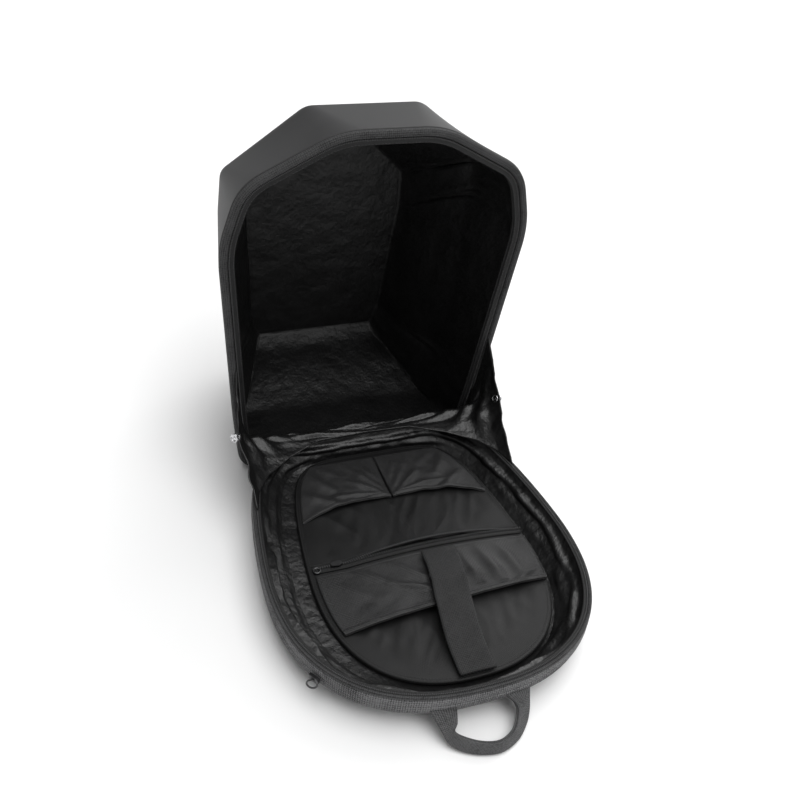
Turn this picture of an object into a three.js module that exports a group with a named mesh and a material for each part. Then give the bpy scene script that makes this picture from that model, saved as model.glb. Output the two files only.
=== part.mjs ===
// Hard-shell backpack, opened: the moulded front shell stands upright and the tray lies flat in
// front of it. Millimetres, X across the bag, Y away from the tray's handle, Z up from the floor.
import * as THREE from 'three';

// Shell
const shellHalfWidth = 170;
const shellHeight = 413;
const shellDepth = 185;
const shellWall = 3;
const rimLip = 15.5;
const rimLipThickness = 3;
const bindingWidth = 8;
const bindingDepth = 5.6;
const zipTapeWidth = 7;
const zipTapeDepth = 2.4;

// Tray
const trayHalfWidth = 168;
const trayLength = 369;
const trayNearReach = 165;
const trayHeight = 31;
const trayWallThickness = 5;
const trayFloorThickness = 5;
const trayFootInset = 14;
const trayHeelInset = 8;
const trayRimInset = 1.5;
const rimTapeWidth = 8.5;
const rimTapeThickness = 2.6;

// Cloth, padding and webbing
const clothThickness = 1.2;
const panelThickness = 5;
const pocketRise = 9;
const zipPocketRise = 7;
const sleeveRise = 7;
const gussetFoldDepth = 10;
const webbingThickness = 2;
const sleeveStrapWidth = 38;
const pocketTapeWidth = 6;
const panelOffset = 6;
const sleeveStrapLean = 15;
const handleWidth = 28;
const handleGripWidth = 13;
const handleSpan = 76;
const handleReach = 38;
const handleOffset = -3;
const handleThickness = 3;
const shoulderStrapWidth = 60;
const strapPadThickness = 11.4;
const webbingWidth = 25;
const backPadWidth = 60;
const backPadLength = 220;
const yokeWidth = 176;
const yokeLength = 56;
const cornerRadius = 8;

// Hardware
const snapRadius = 5;
const snapHeight = 2.4;
const ringWire = 0.9;
const ringRadius = 3.4;
const buckleWidth = 36;
const buckleLength = 26;
const buckleThickness = 4;
const buckleSlot = 3.6;
const sliderLength = 12;
const sliderWidth = 7;
const sliderDepth = 3;

// Clearances
const touchGap = 0.4;
const clothGap = 0.5;
const hingeGap = 12;

// Heights and places that follow from the sizes
const trayFoot = strapPadThickness + touchGap;
const trayRim = trayFoot + trayHeight;
const trayFar = -hingeGap;
const trayNear = trayFar - trayLength;
const trayWidestY = trayNear + trayNearReach;
const trayFarReach = trayFar - trayWidestY;
const liningFloor = trayFoot + trayFloorThickness + touchGap;
const panelBottom = liningFloor + clothThickness + touchGap;
const panelTop = panelBottom + panelThickness;
const rimTapeTop = trayRim + touchGap + rimTapeThickness;
const frontOfBands = -(touchGap + bindingDepth);

// Shell sections from the rim to the front. Across columns are shares of the half width, up
// columns shares of the height, depth a share of the shell's depth, round a share of its height.
const shellSections = [
  { depth: 0, topX: 0.32, topZ: 1, shoulderX: 0.885, shoulderZ: 0.877, wideX: 1, wideZ: 0.714,
    lowX: 0.888, lowZ: 0.18, footX: 0.83, footZ: 0, round: 0.06 },
  { depth: 0.46, topX: 0.365, topZ: 0.971, shoulderX: 0.876, shoulderZ: 0.811, wideX: 0.885, wideZ: 0.7,
    lowX: 0.794, lowZ: 0.18, footX: 0.71, footZ: 0, round: 0.03 },
  { depth: 0.93, topX: 0.34, topZ: 0.79, shoulderX: 0.62, shoulderZ: 0.68, wideX: 0.635, wideZ: 0.56,
    lowX: 0.56, lowZ: 0.17, footX: 0.5, footZ: 0.085, round: 0.02 },
  { depth: 1, topX: 0.3, topZ: 0.76, shoulderX: 0.57, shoulderZ: 0.66, wideX: 0.585, wideZ: 0.555,
    lowX: 0.52, lowZ: 0.185, footX: 0.46, footZ: 0.115, round: 0.02 },
];

// Gusset rows from the middle of the hinge to the side: where the cloth leaves the shell's rim,
// its crest, and where it meets the tray. X shares follow the shell's and tray's half widths,
// Y shares the tray's length, Z shares the shell's height.
const gussetRows = [
  { share: 0, shellX: 0, shellZ: 0.014, crestX: 0, crestY: 0, crestZ: 0,
    trayX: 0, trayY: 0.03 },
  { share: 0.3, shellX: 0.35, shellZ: 0.014, crestX: 0.36, crestY: 0.001, crestZ: 0,
    trayX: 0.33, trayY: 0.036 },
  { share: 0.52, shellX: 0.62, shellZ: 0.015, crestX: 0.62, crestY: 0.008, crestZ: 0.008,
    trayX: 0.56, trayY: 0.088 },
  { share: 0.72, shellX: 0.785, shellZ: 0.05, crestX: 0.8, crestY: 0.03, crestZ: 0.035,
    trayX: 0.745, trayY: 0.148 },
  { share: 0.86, shellX: 0.856, shellZ: 0.2, crestX: 0.88, crestY: 0.06, crestZ: 0.066,
    trayX: 0.85, trayY: 0.213 },
  { share: 1, shellX: 0.886, shellZ: 0.358, crestX: 0.925, crestY: 0.094, crestZ: 0.107,
    trayX: 0.893, trayY: 0.276 },
];

// Folds are ridges between two places of a sheet, in shares across and along it, with the
// height as a share of the named rise and the breadth as a share of the sheet.
const gussetFolds = [
  { fromU: 0.06, fromV: 0.15, toU: 0.2, toV: 0.75, height: 0.5, breadth: 0.05 },
  { fromU: 0.13, fromV: 0.1, toU: 0.3, toV: 0.6, height: 0.42, breadth: 0.05 },
  { fromU: 0.94, fromV: 0.2, toU: 0.82, toV: 0.8, height: 0.5, breadth: 0.05 },
  { fromU: 0.86, fromV: 0.1, toU: 0.7, toV: 0.6, height: 0.42, breadth: 0.05 },
];
const pocketFolds = [
  { fromU: 0.15, fromV: 0.1, toU: 0.45, toV: 0.9, height: 0.1, breadth: 0.09 },
  { fromU: 0.85, fromV: 0.2, toU: 0.6, toV: 0.85, height: 0.12, breadth: 0.08 },
];
const sleeveFolds = [
  { fromU: 0.42, fromV: 0.15, toU: 0.2, toV: 0.6, height: 0.2, breadth: 0.05 },
  { fromU: 0.44, fromV: 0.3, toU: 0.3, toV: 0.85, height: 0.16, breadth: 0.04 },
  { fromU: 0.62, fromV: 0.1, toU: 0.85, toV: 0.55, height: 0.2, breadth: 0.05 },
];
const liningWaves = { side: 11, depth: 0.09 };

// The tray lining's insets from the tray's outline, as shares of its half width and its two
// reaches, and its height as a share of the depth inside the tray.
const liningRows = [
  { rise: 0, side: 0.208, near: 0.145, far: 0.083 },
  { rise: 0.3, side: 0.143, near: 0.103, far: 0.064 },
  { rise: 0.62, side: 0.077, near: 0.067, far: 0.049 },
];

// The handle's loop: how far it bows at its sides, where along the turn it folds to the grip,
// how it leans from its roots to the grip, and how much thicker the folded grip is.
const handleShape = {
  rootRise: 0.5, bow: 0.08, turn: 0.9, foldStart: 0.45, foldEnd: 0.9,
  rootLean: 0.15, gripLean: 0.95, fold: 1.7,
};

// The shoulder straps' ways on the wearer's side, as shares of the tray's length, with how far
// they spread as shares of a strap's width.
const strapShape = {
  yokeNear: 0.08, strapRun: 0.7, webbingRun: 0.91, inside: 0.57, bowEarly: 0.13, bowLate: 0.37, bowEnd: 0.33,
  taper: 0.25,
};

const finishes = {
  moulded: { color: 0x2b2b2c, roughness: 0.55, metalness: 0 },
  woven: { color: 0x1d1d1e, roughness: 0.85, metalness: 0 },
  smoothTape: { color: 0x141415, roughness: 0.7, metalness: 0 },
  satin: { color: 0x09090a, roughness: 0.35, metalness: 0 },
  nylon: { color: 0x121213, roughness: 0.6, metalness: 0 },
  padding: { color: 0x161617, roughness: 0.8, metalness: 0 },
  webbing: { color: 0x1a1a1b, roughness: 0.8, metalness: 0 },
  brightMetal: { color: 0xc8c8ca, roughness: 0.25, metalness: 1 },
  darkMetal: { color: 0x2a2a2c, roughness: 0.35, metalness: 1 },
  plastic: { color: 0x111112, roughness: 0.5, metalness: 0 },
};

const bag = new THREE.Group();

function addPiece(name, geometry, finish) {
  const mesh = new THREE.Mesh(geometry, new THREE.MeshStandardMaterial(finishes[finish]));
  mesh.name = name;
  bag.add(mesh);
  return mesh;
}

function signedVolume(positions, indices) {
  const a = new THREE.Vector3();
  const b = new THREE.Vector3();
  const c = new THREE.Vector3();
  let volume = 0;
  for (let i = 0; i < indices.length; i += 3) {
    a.fromArray(positions, 3 * indices[i]);
    b.fromArray(positions, 3 * indices[i + 1]);
    c.fromArray(positions, 3 * indices[i + 2]);
    volume += a.dot(b.cross(c)) / 6;
  }
  return volume;
}

// A closed body with its faces pointing out, whichever way its loops were counted.
function closedBody(positions, indices) {
  if (signedVolume(positions, indices) < 0) {
    for (let i = 0; i < indices.length; i += 3) {
      [indices[i + 1], indices[i + 2]] = [indices[i + 2], indices[i + 1]];
    }
  }
  const geometry = new THREE.BufferGeometry();
  geometry.setAttribute('position', new THREE.Float32BufferAttribute(positions, 3));
  geometry.setIndex(indices);
  geometry.computeVertexNormals();
  return geometry;
}

// Joins rings of equal length in order, each quad split along its shorter diagonal. A hoop joins
// its last ring to its first, and any other body is closed by a fan at each end.
function loftBody(rings, hoop = false) {
  const count = rings[0].length;
  const positions = rings.flat().flatMap((point) => point.toArray());
  const indices = [];
  const bands = hoop ? rings.length : rings.length - 1;
  for (let band = 0; band < bands; band++) {
    const here = band * count;
    const there = ((band + 1) % rings.length) * count;
    for (let i = 0; i < count; i++) {
      const j = (i + 1) % count;
      const oneWay = rings[band][i].distanceTo(rings[(band + 1) % rings.length][j]);
      const otherWay = rings[band][j].distanceTo(rings[(band + 1) % rings.length][i]);
      if (oneWay < otherWay) {
        indices.push(here + i, here + j, there + j, here + i, there + j, there + i);
      } else {
        indices.push(here + i, here + j, there + i, here + j, there + j, there + i);
      }
    }
  }
  if (!hoop) {
    for (const [ring, turn] of [[0, 1], [rings.length - 1, 0]]) {
      const middle = new THREE.Vector3();
      rings[ring].forEach((point) => middle.addScaledVector(point, 1 / count));
      const centre = positions.length / 3;
      positions.push(...middle.toArray());
      for (let i = 0; i < count; i++) {
        const j = (i + 1) % count;
        const first = ring * count + (turn ? j : i);
        const second = ring * count + (turn ? i : j);
        indices.push(centre, first, second);
      }
    }
  }
  return closedBody(positions, indices);
}

// A sheet of cloth: the surface that placeAt gives for shares u and v, and the same surface
// moved by the cloth's thickness along its normal, joined round the edge.
function sheetBody(placeAt, thickness, across, along) {
  const step = 0.004;
  const positions = [];
  const lower = [];
  for (let i = 0; i <= across; i++) {
    for (let j = 0; j <= along; j++) {
      const u = i / across;
      const v = j / along;
      const place = placeAt(u, v);
      const before = placeAt(Math.max(u - step, 0), v);
      const after = placeAt(Math.min(u + step, 1), v);
      const nearer = placeAt(u, Math.max(v - step, 0));
      const farther = placeAt(u, Math.min(v + step, 1));
      const normal = after.sub(before).cross(farther.sub(nearer)).normalize();
      positions.push(...place.toArray());
      lower.push(...place.addScaledVector(normal, thickness).toArray());
    }
  }
  const layer = positions.length / 3;
  positions.push(...lower);
  const at = (i, j) => i * (along + 1) + j;
  const indices = [];
  for (let i = 0; i < across; i++) {
    for (let j = 0; j < along; j++) {
      const corners = [at(i, j), at(i + 1, j), at(i + 1, j + 1), at(i, j + 1)];
      const [a, b, c, d] = corners;
      const [e, f, g, h] = corners.map((corner) => corner + layer);
      indices.push(a, b, c, a, c, d, e, g, f, e, h, g);
    }
  }
  const edge = [];
  for (let i = 0; i < across; i++) {
    edge.push([at(i + 1, 0), at(i, 0)]);
    edge.push([at(i, along), at(i + 1, along)]);
  }
  for (let j = 0; j < along; j++) {
    edge.push([at(0, j), at(0, j + 1)]);
    edge.push([at(across, j + 1), at(across, j)]);
  }
  for (const [from, to] of edge) {
    indices.push(from, to, to + layer, from, to + layer, from + layer);
  }
  return closedBody(positions, indices);
}

function foldHeight(folds, u, v) {
  let height = 0;
  for (const fold of folds) {
    const runU = fold.toU - fold.fromU;
    const runV = fold.toV - fold.fromV;
    const share = ((u - fold.fromU) * runU + (v - fold.fromV) * runV) / (runU ** 2 + runV ** 2);
    const along = THREE.MathUtils.clamp(share, 0, 1);
    const aside = Math.hypot(u - fold.fromU - along * runU, v - fold.fromV - along * runV);
    height += fold.height * Math.exp(-((aside / fold.breadth) ** 2));
  }
  return height;
}

// Shell outlines lie in planes of constant Y, round each corner by a small curve.
function shellCorners(section) {
  const right = [
    [section.footX, section.footZ],
    [section.lowX, section.lowZ],
    [section.wideX, section.wideZ],
    [section.shoulderX, section.shoulderZ],
    [section.topX, section.topZ],
  ].map(([across, up]) => new THREE.Vector2(across * shellHalfWidth, up * shellHeight));
  const left = right.map((corner) => new THREE.Vector2(-corner.x, corner.y)).reverse();
  return [...right, ...left];
}

function shellOutline(section, inset, depth) {
  const corners = shellCorners(section);
  const radius = section.round * shellHeight;
  const steps = 3;
  const outline = [];
  corners.forEach((corner, i) => {
    const toPrevious = corners.at(i - 1).clone().sub(corner);
    const toNext = corners[(i + 1) % corners.length].clone().sub(corner);
    const cut = Math.min(radius, 0.45 * toPrevious.length(), 0.45 * toNext.length());
    const start = corner.clone().addScaledVector(toPrevious.normalize(), cut);
    const end = corner.clone().addScaledVector(toNext.normalize(), cut);
    const curve = new THREE.QuadraticBezierCurve(start, corner, end);
    outline.push(...curve.getPoints(steps));
  });
  return outline.map((point, i) => {
    const before = outline.at(i - 1);
    const after = outline[(i + 1) % outline.length];
    const inward = new THREE.Vector2(before.y - after.y, after.x - before.x).normalize();
    return new THREE.Vector3(point.x + inset * inward.x, depth, point.y + inset * inward.y);
  });
}

function shellRing(row, inset, back = 0) {
  const section = shellSections[row];
  return shellOutline(section, inset, section.depth * shellDepth - back);
}

function rimHoop(points) {
  return loftBody(points.map(([inset, out]) => shellOutline(shellSections[0], inset, out)), true);
}

function makeShell() {
  const innerRim = shellOutline(shellSections[0], rimLip, 0);
  const lipBack = shellOutline(shellSections[0], rimLip, rimLipThickness);
  const lipRoot = shellOutline(shellSections[0], shellWall, rimLipThickness);
  addPiece('shell', loftBody([
    shellRing(3, 0), shellRing(2, 0), shellRing(1, 0), shellRing(0, 0), innerRim, lipBack, lipRoot,
    shellRing(1, shellWall), shellRing(2, shellWall, shellWall / 2), shellRing(3, shellWall, shellWall),
  ]), 'moulded');

  const outer = shellWall + clothGap;
  const inner = outer + clothThickness;
  const start = rimLipThickness + touchGap;
  addPiece('shell_lining', loftBody([
    shellRing(3, outer, outer), shellRing(2, outer, outer / 2), shellRing(1, outer),
    shellOutline(shellSections[0], outer, start), shellOutline(shellSections[0], inner, start),
    shellRing(1, inner), shellRing(2, inner, inner / 2), shellRing(3, inner, inner),
  ]), 'satin');

  const back = -touchGap;
  const front = back - bindingDepth;
  addPiece('shell_rim_binding', rimHoop([
    [touchGap, back], [touchGap, 0.7 * front], [0.45 * bindingWidth, front],
    [0.9 * bindingWidth, 0.85 * front], [bindingWidth, back],
  ]), 'woven');

  const tapeStart = bindingWidth + touchGap;
  const tapeEnd = Math.min(tapeStart + zipTapeWidth, rimLip - touchGap / 2);
  addPiece('shell_zip_tape', rimHoop([
    [tapeStart, back], [tapeStart, back - zipTapeDepth], [tapeEnd, back - zipTapeDepth], [tapeEnd, back],
  ]), 'smoothTape');
}

// Tray outlines lie in planes of constant Z. The near end is a broad round curve, the far end
// squarer and a little narrower.
const trayPoints = 48;
const nearPower = 2.4;
const farPower = 6;
const farTaper = 0.2;

function trayOutline(insets, height, wave = 0) {
  const ring = [];
  for (let i = 0; i < trayPoints; i++) {
    const angle = (2 * Math.PI * (i + 0.5)) / trayPoints;
    const across = Math.cos(angle);
    const up = Math.sin(angle);
    const near = up < 0;
    const power = near ? nearPower : farPower;
    const reach = near ? trayNearReach - insets.near : trayFarReach - insets.far;
    const along = Math.abs(up) ** (2 / power);
    const taper = near ? 1 : 1 - farTaper * along ** 1.5;
    const ripple = wave * Math.sin(liningWaves.side * angle) * Math.abs(across);
    const half = (trayHalfWidth - insets.side - ripple) * Math.abs(across) ** (2 / power) * taper;
    const y = trayWidestY + Math.sign(up) * reach * along;
    ring.push(new THREE.Vector3(Math.sign(across) * half, y, height));
  }
  return ring;
}

function evenInset(inset) {
  return { side: inset, near: inset, far: inset };
}

function trayHalfWidthAt(y, insets) {
  const near = y < trayWidestY;
  const reach = near ? trayNearReach - insets.near : trayFarReach - insets.far;
  const power = near ? nearPower : farPower;
  const along = Math.min(Math.abs(y - trayWidestY) / reach, 1);
  const taper = near ? 1 : 1 - farTaper * along ** 1.5;
  return (trayHalfWidth - insets.side) * taper * (1 - along ** power) ** (1 / power);
}

function trayNearYAt(x, insets) {
  const share = Math.min(Math.abs(x) / (trayHalfWidth - insets.side), 1);
  return trayWidestY - (trayNearReach - insets.near) * (1 - share ** nearPower) ** (1 / nearPower);
}

const panelInsets = { side: 45, near: 29, far: 20 };

function liningRing(row, extra, rise, wave) {
  const { side, near, far } = liningRows[row];
  return trayOutline({
    side: side * trayHalfWidth + extra, near: near * trayNearReach + extra, far: far * trayFarReach + extra,
  }, rise, wave);
}

function makeTray() {
  const middle = trayFoot + 0.5 * trayHeight;
  const floorTop = trayFoot + trayFloorThickness;
  const wall = trayWallThickness;
  addPiece('tray_wall', loftBody([
    trayOutline(evenInset(trayFootInset), trayFoot),
    trayOutline(evenInset(trayHeelInset), trayFoot + 0.04 * trayHeight),
    trayOutline(evenInset(0), middle),
    trayOutline(evenInset(trayRimInset), trayRim),
    trayOutline(evenInset(trayRimInset + wall), trayRim),
    trayOutline(evenInset(0.1 * wall + wall), middle),
    trayOutline(evenInset(trayHeelInset + 1.2 * wall), floorTop),
  ]), 'woven');

  const tapeBottom = trayRim + touchGap;
  const tapeStart = trayRimInset - 0.5;
  addPiece('tray_rim_tape', loftBody([
    trayOutline(evenInset(tapeStart), tapeBottom),
    trayOutline(evenInset(tapeStart), rimTapeTop - 0.3 * rimTapeThickness),
    trayOutline(evenInset(tapeStart + 0.3 * rimTapeWidth), rimTapeTop),
    trayOutline(evenInset(tapeStart + rimTapeWidth), rimTapeTop - 0.3 * rimTapeThickness),
    trayOutline(evenInset(tapeStart + rimTapeWidth), tapeBottom),
  ], true), 'woven');

  const wave = liningWaves.depth * trayHeight;
  const cloth = clothThickness;
  const top = trayRim - touchGap;
  const heightOf = (row) => THREE.MathUtils.lerp(liningFloor, top, liningRows[row].rise);
  const edge = wall + trayRimInset + clothGap;
  addPiece('tray_lining', loftBody([
    liningRing(0, 0, liningFloor), liningRing(1, 0, heightOf(1), wave), liningRing(2, 0, heightOf(2), wave),
    trayOutline(evenInset(edge), top), trayOutline(evenInset(edge + cloth), top),
    liningRing(2, cloth, heightOf(2) + cloth / 2, wave), liningRing(1, cloth, heightOf(1) + cloth / 2, wave),
    liningRing(0, cloth, liningFloor + cloth),
  ]), 'satin');

  const bevel = 0.3 * panelThickness;
  const bevelled = {
    side: panelInsets.side + bevel, near: panelInsets.near + bevel, far: panelInsets.far + bevel,
  };
  const panel = addPiece('organizer_panel', loftBody([
    trayOutline(bevelled, panelBottom),
    trayOutline(panelInsets, panelBottom + bevel),
    trayOutline(panelInsets, panelTop - bevel),
    trayOutline(bevelled, panelTop),
  ]), 'padding');
  panel.position.x = panelOffset;
}

// Pockets on the panel. Places along the tray are shares of its length from the far end.
const pocketPlaces = {
  edge: 6, seam: 1, phoneFar: 0.08, phoneMouth: 0.262, phoneBow: 0.045, zipFar: 0.495, sliderAcross: 0.16,
  zipPocketNear: 0.665, sleeveFar: 0.51, sleeveMouth: 0.69, sleeveBow: 0.012, strapNear: 0.912,
};

function alongTray(share) {
  return trayFar - share * trayLength;
}

function pouchWidth(y) {
  return trayHalfWidthAt(y, panelInsets) - pocketPlaces.edge;
}

function makePhonePocket(name, side) {
  const placeAt = (u, v) => {
    const across = side > 0 ? u : 1 - u;
    const mouth = pocketPlaces.phoneMouth + pocketPlaces.phoneBow * across ** 3;
    const y = alongTray(THREE.MathUtils.lerp(pocketPlaces.phoneFar, mouth, v));
    const outer = pouchWidth(y);
    const x = panelOffset + side * THREE.MathUtils.lerp(pocketPlaces.seam, outer, across);
    const crown = (1 - Math.abs(2 * u - 1) ** 3) * v ** 0.8;
    const fold = foldHeight(pocketFolds, across, v) * crown;
    return new THREE.Vector3(x, y, panelTop + touchGap + clothThickness + pocketRise * (crown + fold));
  };
  addPiece(name, sheetBody(placeAt, clothThickness, 10, 7), 'nylon');
}

// How far the zip is open at a share across it: shut up to the slider, then a long slit.
function zipOpening(u) {
  const share = (u - pocketPlaces.sliderAcross) / (0.97 - pocketPlaces.sliderAcross);
  return share <= 0 || share >= 1 ? 0 : Math.sin(Math.PI * share) ** 0.8;
}

function zipPocketTop(u, y) {
  const far = alongTray(pocketPlaces.zipFar);
  const near = alongTray(pocketPlaces.zipPocketNear);
  const share = THREE.MathUtils.clamp((y - near) / (far - near), 0, 1);
  return panelTop + touchGap + clothThickness + zipPocketRise * zipOpening(u) * share ** 0.8;
}

function sleeveTop(u, y, mouth) {
  const far = alongTray(pocketPlaces.sleeveFar);
  const share = THREE.MathUtils.clamp((y - far) / (mouth - far), 0, 1);
  const crown = (1 - Math.abs(2 * u - 1) ** 4) * share;
  const fold = foldHeight(sleeveFolds, u, share) * crown;
  return zipPocketTop(u, y) + clothGap + clothThickness + sleeveRise * (crown + fold);
}

function makeZipPocket() {
  const far = alongTray(pocketPlaces.zipFar);
  const near = alongTray(pocketPlaces.zipPocketNear);
  addPiece('zip_pocket', sheetBody((u, v) => {
    const y = THREE.MathUtils.lerp(far, near, v);
    return new THREE.Vector3(panelOffset + (2 * u - 1) * pouchWidth(y), y, zipPocketTop(u, y));
  }, clothThickness, 16, 5), 'nylon');

  const nearTapeFar = far + touchGap + pocketTapeWidth;
  addPiece('pocket_zip_near_tape', sheetBody((u, v) => {
    const y = THREE.MathUtils.lerp(nearTapeFar, far + touchGap, v);
    return new THREE.Vector3(panelOffset + (2 * u - 1) * pouchWidth(y), y, zipPocketTop(u, far));
  }, clothThickness, 16, 1), 'woven');

  const farTapeNear = nearTapeFar + touchGap;
  const slit = pocketTapeWidth;
  addPiece('pocket_zip_far_tape', sheetBody((u, v) => {
    const y = farTapeNear + slit * zipOpening(u) + (1 - v) * pocketTapeWidth;
    const height = panelTop + touchGap + clothThickness;
    return new THREE.Vector3(panelOffset + (2 * u - 1) * pouchWidth(y), y, height);
  }, clothThickness, 16, 1), 'woven');

  const seat = panelTop + touchGap + clothThickness + touchGap;
  const sliderX = panelOffset + (2 * pocketPlaces.sliderAcross - 1) * pouchWidth(far) - sliderLength;
  const slider = addPiece('pocket_zip_slider', sliderShape(), 'darkMetal');
  slider.position.set(sliderX, nearTapeFar, seat);

  const endRing = addPiece('pocket_zip_end_ring', ringShape(), 'darkMetal');
  const endX = panelOffset - pouchWidth(far) + ringRadius;
  endRing.position.set(endX, nearTapeFar - 0.5 * pocketTapeWidth, seat + ringWire);
}

function makeLaptopSleeve() {
  const far = alongTray(pocketPlaces.sleeveFar);
  const mouthAt = (u) => alongTray(pocketPlaces.sleeveMouth + pocketPlaces.sleeveBow * (2 * u - 1) ** 2);
  addPiece('laptop_sleeve', sheetBody((u, v) => {
    const mouth = mouthAt(u);
    const y = THREE.MathUtils.lerp(far, mouth, v);
    return new THREE.Vector3(panelOffset + (2 * u - 1) * pouchWidth(y), y, sleeveTop(u, y, mouth));
  }, clothThickness, 16, 7), 'nylon');

  const mouth = mouthAt(0.5);
  const last = alongTray(pocketPlaces.strapNear);
  const nearX = panelOffset;
  const farX = panelOffset + sleeveStrapLean;
  const over = webbingThickness + clothGap;
  const onSleeve = (y) => sleeveTop(0.5, y, mouth) + over;
  const loose = panelTop + touchGap + webbingThickness;
  const crest = onSleeve(mouth);
  const halfWay = THREE.MathUtils.lerp(far, mouth, 0.5);
  const path = new THREE.CatmullRomCurve3([
    new THREE.Vector3(farX, far - 2, onSleeve(far - 2) + 0.6),
    new THREE.Vector3(THREE.MathUtils.lerp(farX, nearX, 0.25), halfWay, onSleeve(halfWay) + 0.8),
    new THREE.Vector3(THREE.MathUtils.lerp(farX, nearX, 0.5), mouth, crest + 0.8),
    new THREE.Vector3(THREE.MathUtils.lerp(farX, nearX, 0.7), THREE.MathUtils.lerp(mouth, last, 0.45),
      crest - 0.1 * (crest - loose)),
    new THREE.Vector3(nearX, THREE.MathUtils.lerp(mouth, last, 0.8), loose + 0.42 * (crest - loose)),
    new THREE.Vector3(nearX, last, loose),
  ]);
  addPiece('sleeve_strap', sheetBody((u, v) => {
    const place = path.getPoint(v);
    place.x += (u - 0.5) * sleeveStrapWidth;
    return place;
  }, webbingThickness, 1, 14), 'webbing');
}

// The gusset is one sheet from side to side, flat over the hinge and rising at each side to a
// web whose corner carries the snap studs.
function gussetPlace(u, v) {
  const side = Math.sign(u - 0.5);
  const share = Math.abs(2 * u - 1);
  const next = Math.max(1, gussetRows.findIndex((row) => row.share >= share));
  const from = gussetRows[next - 1];
  const to = gussetRows[next];
  const blend = (share - from.share) / (to.share - from.share);
  const at = (column) => THREE.MathUtils.lerp(from[column], to[column], blend);
  const rest = rimTapeTop + clothThickness + clothGap;
  const shellPlace = new THREE.Vector3(side * at('shellX') * shellHalfWidth, frontOfBands - clothGap,
    at('shellZ') * shellHeight);
  const crest = new THREE.Vector3(side * at('crestX') * shellHalfWidth,
    trayFar + clothGap + clothThickness - at('crestY') * trayLength, rest + at('crestZ') * shellHeight);
  const trayPlace = new THREE.Vector3(side * at('trayX') * trayHalfWidth,
    trayFar - at('trayY') * trayLength, rest);
  return v < 0.5 ? shellPlace.lerp(crest, 2 * v) : crest.lerp(trayPlace, 2 * v - 1);
}

function foldedGussetPlace(u, v) {
  const place = gussetPlace(u, v);
  const share = Math.abs(2 * u - 1);
  const lift = gussetFoldDepth * foldHeight(gussetFolds, u, v) * Math.sin(Math.PI * v);
  place.x -= Math.sign(u - 0.5) * lift * share;
  place.z += lift * (1 - 0.5 * share);
  return place;
}

function makeGusset() {
  addPiece('gusset', sheetBody(foldedGussetPlace, clothThickness, 40, 6), 'satin');

  const profile = [
    [0, 0], [snapRadius, 0], [snapRadius, 0.6 * snapHeight], [0.8 * snapRadius, snapHeight],
    [0.5 * snapRadius, 0.7 * snapHeight], [0, 0.7 * snapHeight],
  ].map(([radius, height]) => new THREE.Vector2(radius, height));
  const inFromEdge = 0.022;
  for (const [word, u] of [['left', inFromEdge], ['right', 1 - inFromEdge]]) {
    const side = word === 'left' ? -1 : 1;
    const place = gussetPlace(u, 0.5);
    const above = gussetPlace(u, 0.42).sub(gussetPlace(u, 0.58));
    const across = gussetPlace(u + 0.01, 0.5).sub(gussetPlace(u - 0.01, 0.5));
    const outward = across.cross(above).normalize();
    outward.multiplyScalar(Math.sign(outward.x) * side);
    for (const [face, way, gap] of [['outer', 1, clothThickness + touchGap], ['inner', -1, 4 * touchGap]]) {
      const snap = addPiece(`snap_${word}_${face}`, new THREE.LatheGeometry(profile, 14), 'brightMetal');
      const normal = outward.clone().multiplyScalar(way);
      snap.quaternion.setFromUnitVectors(new THREE.Vector3(0, 1, 0), normal);
      snap.position.copy(place).addScaledVector(normal, gap);
    }
  }
}

function ringShape() {
  return new THREE.TorusGeometry(ringRadius, ringWire, 6, 12);
}

function sliderShape() {
  const outline = new THREE.Shape();
  outline.moveTo(-sliderLength / 2, -0.35 * sliderWidth);
  outline.lineTo(0.2 * sliderLength, -sliderWidth / 2);
  outline.lineTo(sliderLength / 2, -0.2 * sliderWidth);
  outline.lineTo(sliderLength / 2, 0.2 * sliderWidth);
  outline.lineTo(0.2 * sliderLength, sliderWidth / 2);
  outline.lineTo(-sliderLength / 2, 0.35 * sliderWidth);
  outline.closePath();
  return new THREE.ExtrudeGeometry(outline, { depth: sliderDepth, bevelEnabled: false });
}

// The main zip's slider rests at the left of the tray's near end, below the rim tape, with its
// ring hanging at the wall.
function makeMainSlider() {
  const y = trayWidestY - 0.6 * trayNearReach;
  const wallX = -trayHalfWidthAt(y, evenInset(0));
  const beyond = trayHalfWidthAt(y - 1, evenInset(0)) - trayHalfWidthAt(y + 1, evenInset(0));
  const turn = Math.atan2(-2, -beyond);
  const outward = new THREE.Vector3(Math.sin(turn), -Math.cos(turn), 0);
  const holder = new THREE.Group();
  holder.position.set(wallX, y, trayRim - 0.4 * trayHeight).addScaledVector(outward, touchGap);
  holder.rotation.z = turn;
  bag.add(holder);

  const slider = addPiece('main_zip_slider', sliderShape(), 'darkMetal');
  slider.rotation.x = Math.PI / 2;
  holder.add(slider);

  const pull = new THREE.TorusGeometry(1.5 * ringRadius, ringWire, 6, 14);
  const ring = addPiece('main_zip_pull', pull, 'darkMetal');
  ring.rotation.x = Math.PI / 2;
  ring.position.set(0, -sliderDepth - touchGap - ringWire, -0.3 * sliderWidth - 1.1 * ringRadius);
  holder.add(ring);
}

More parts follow.
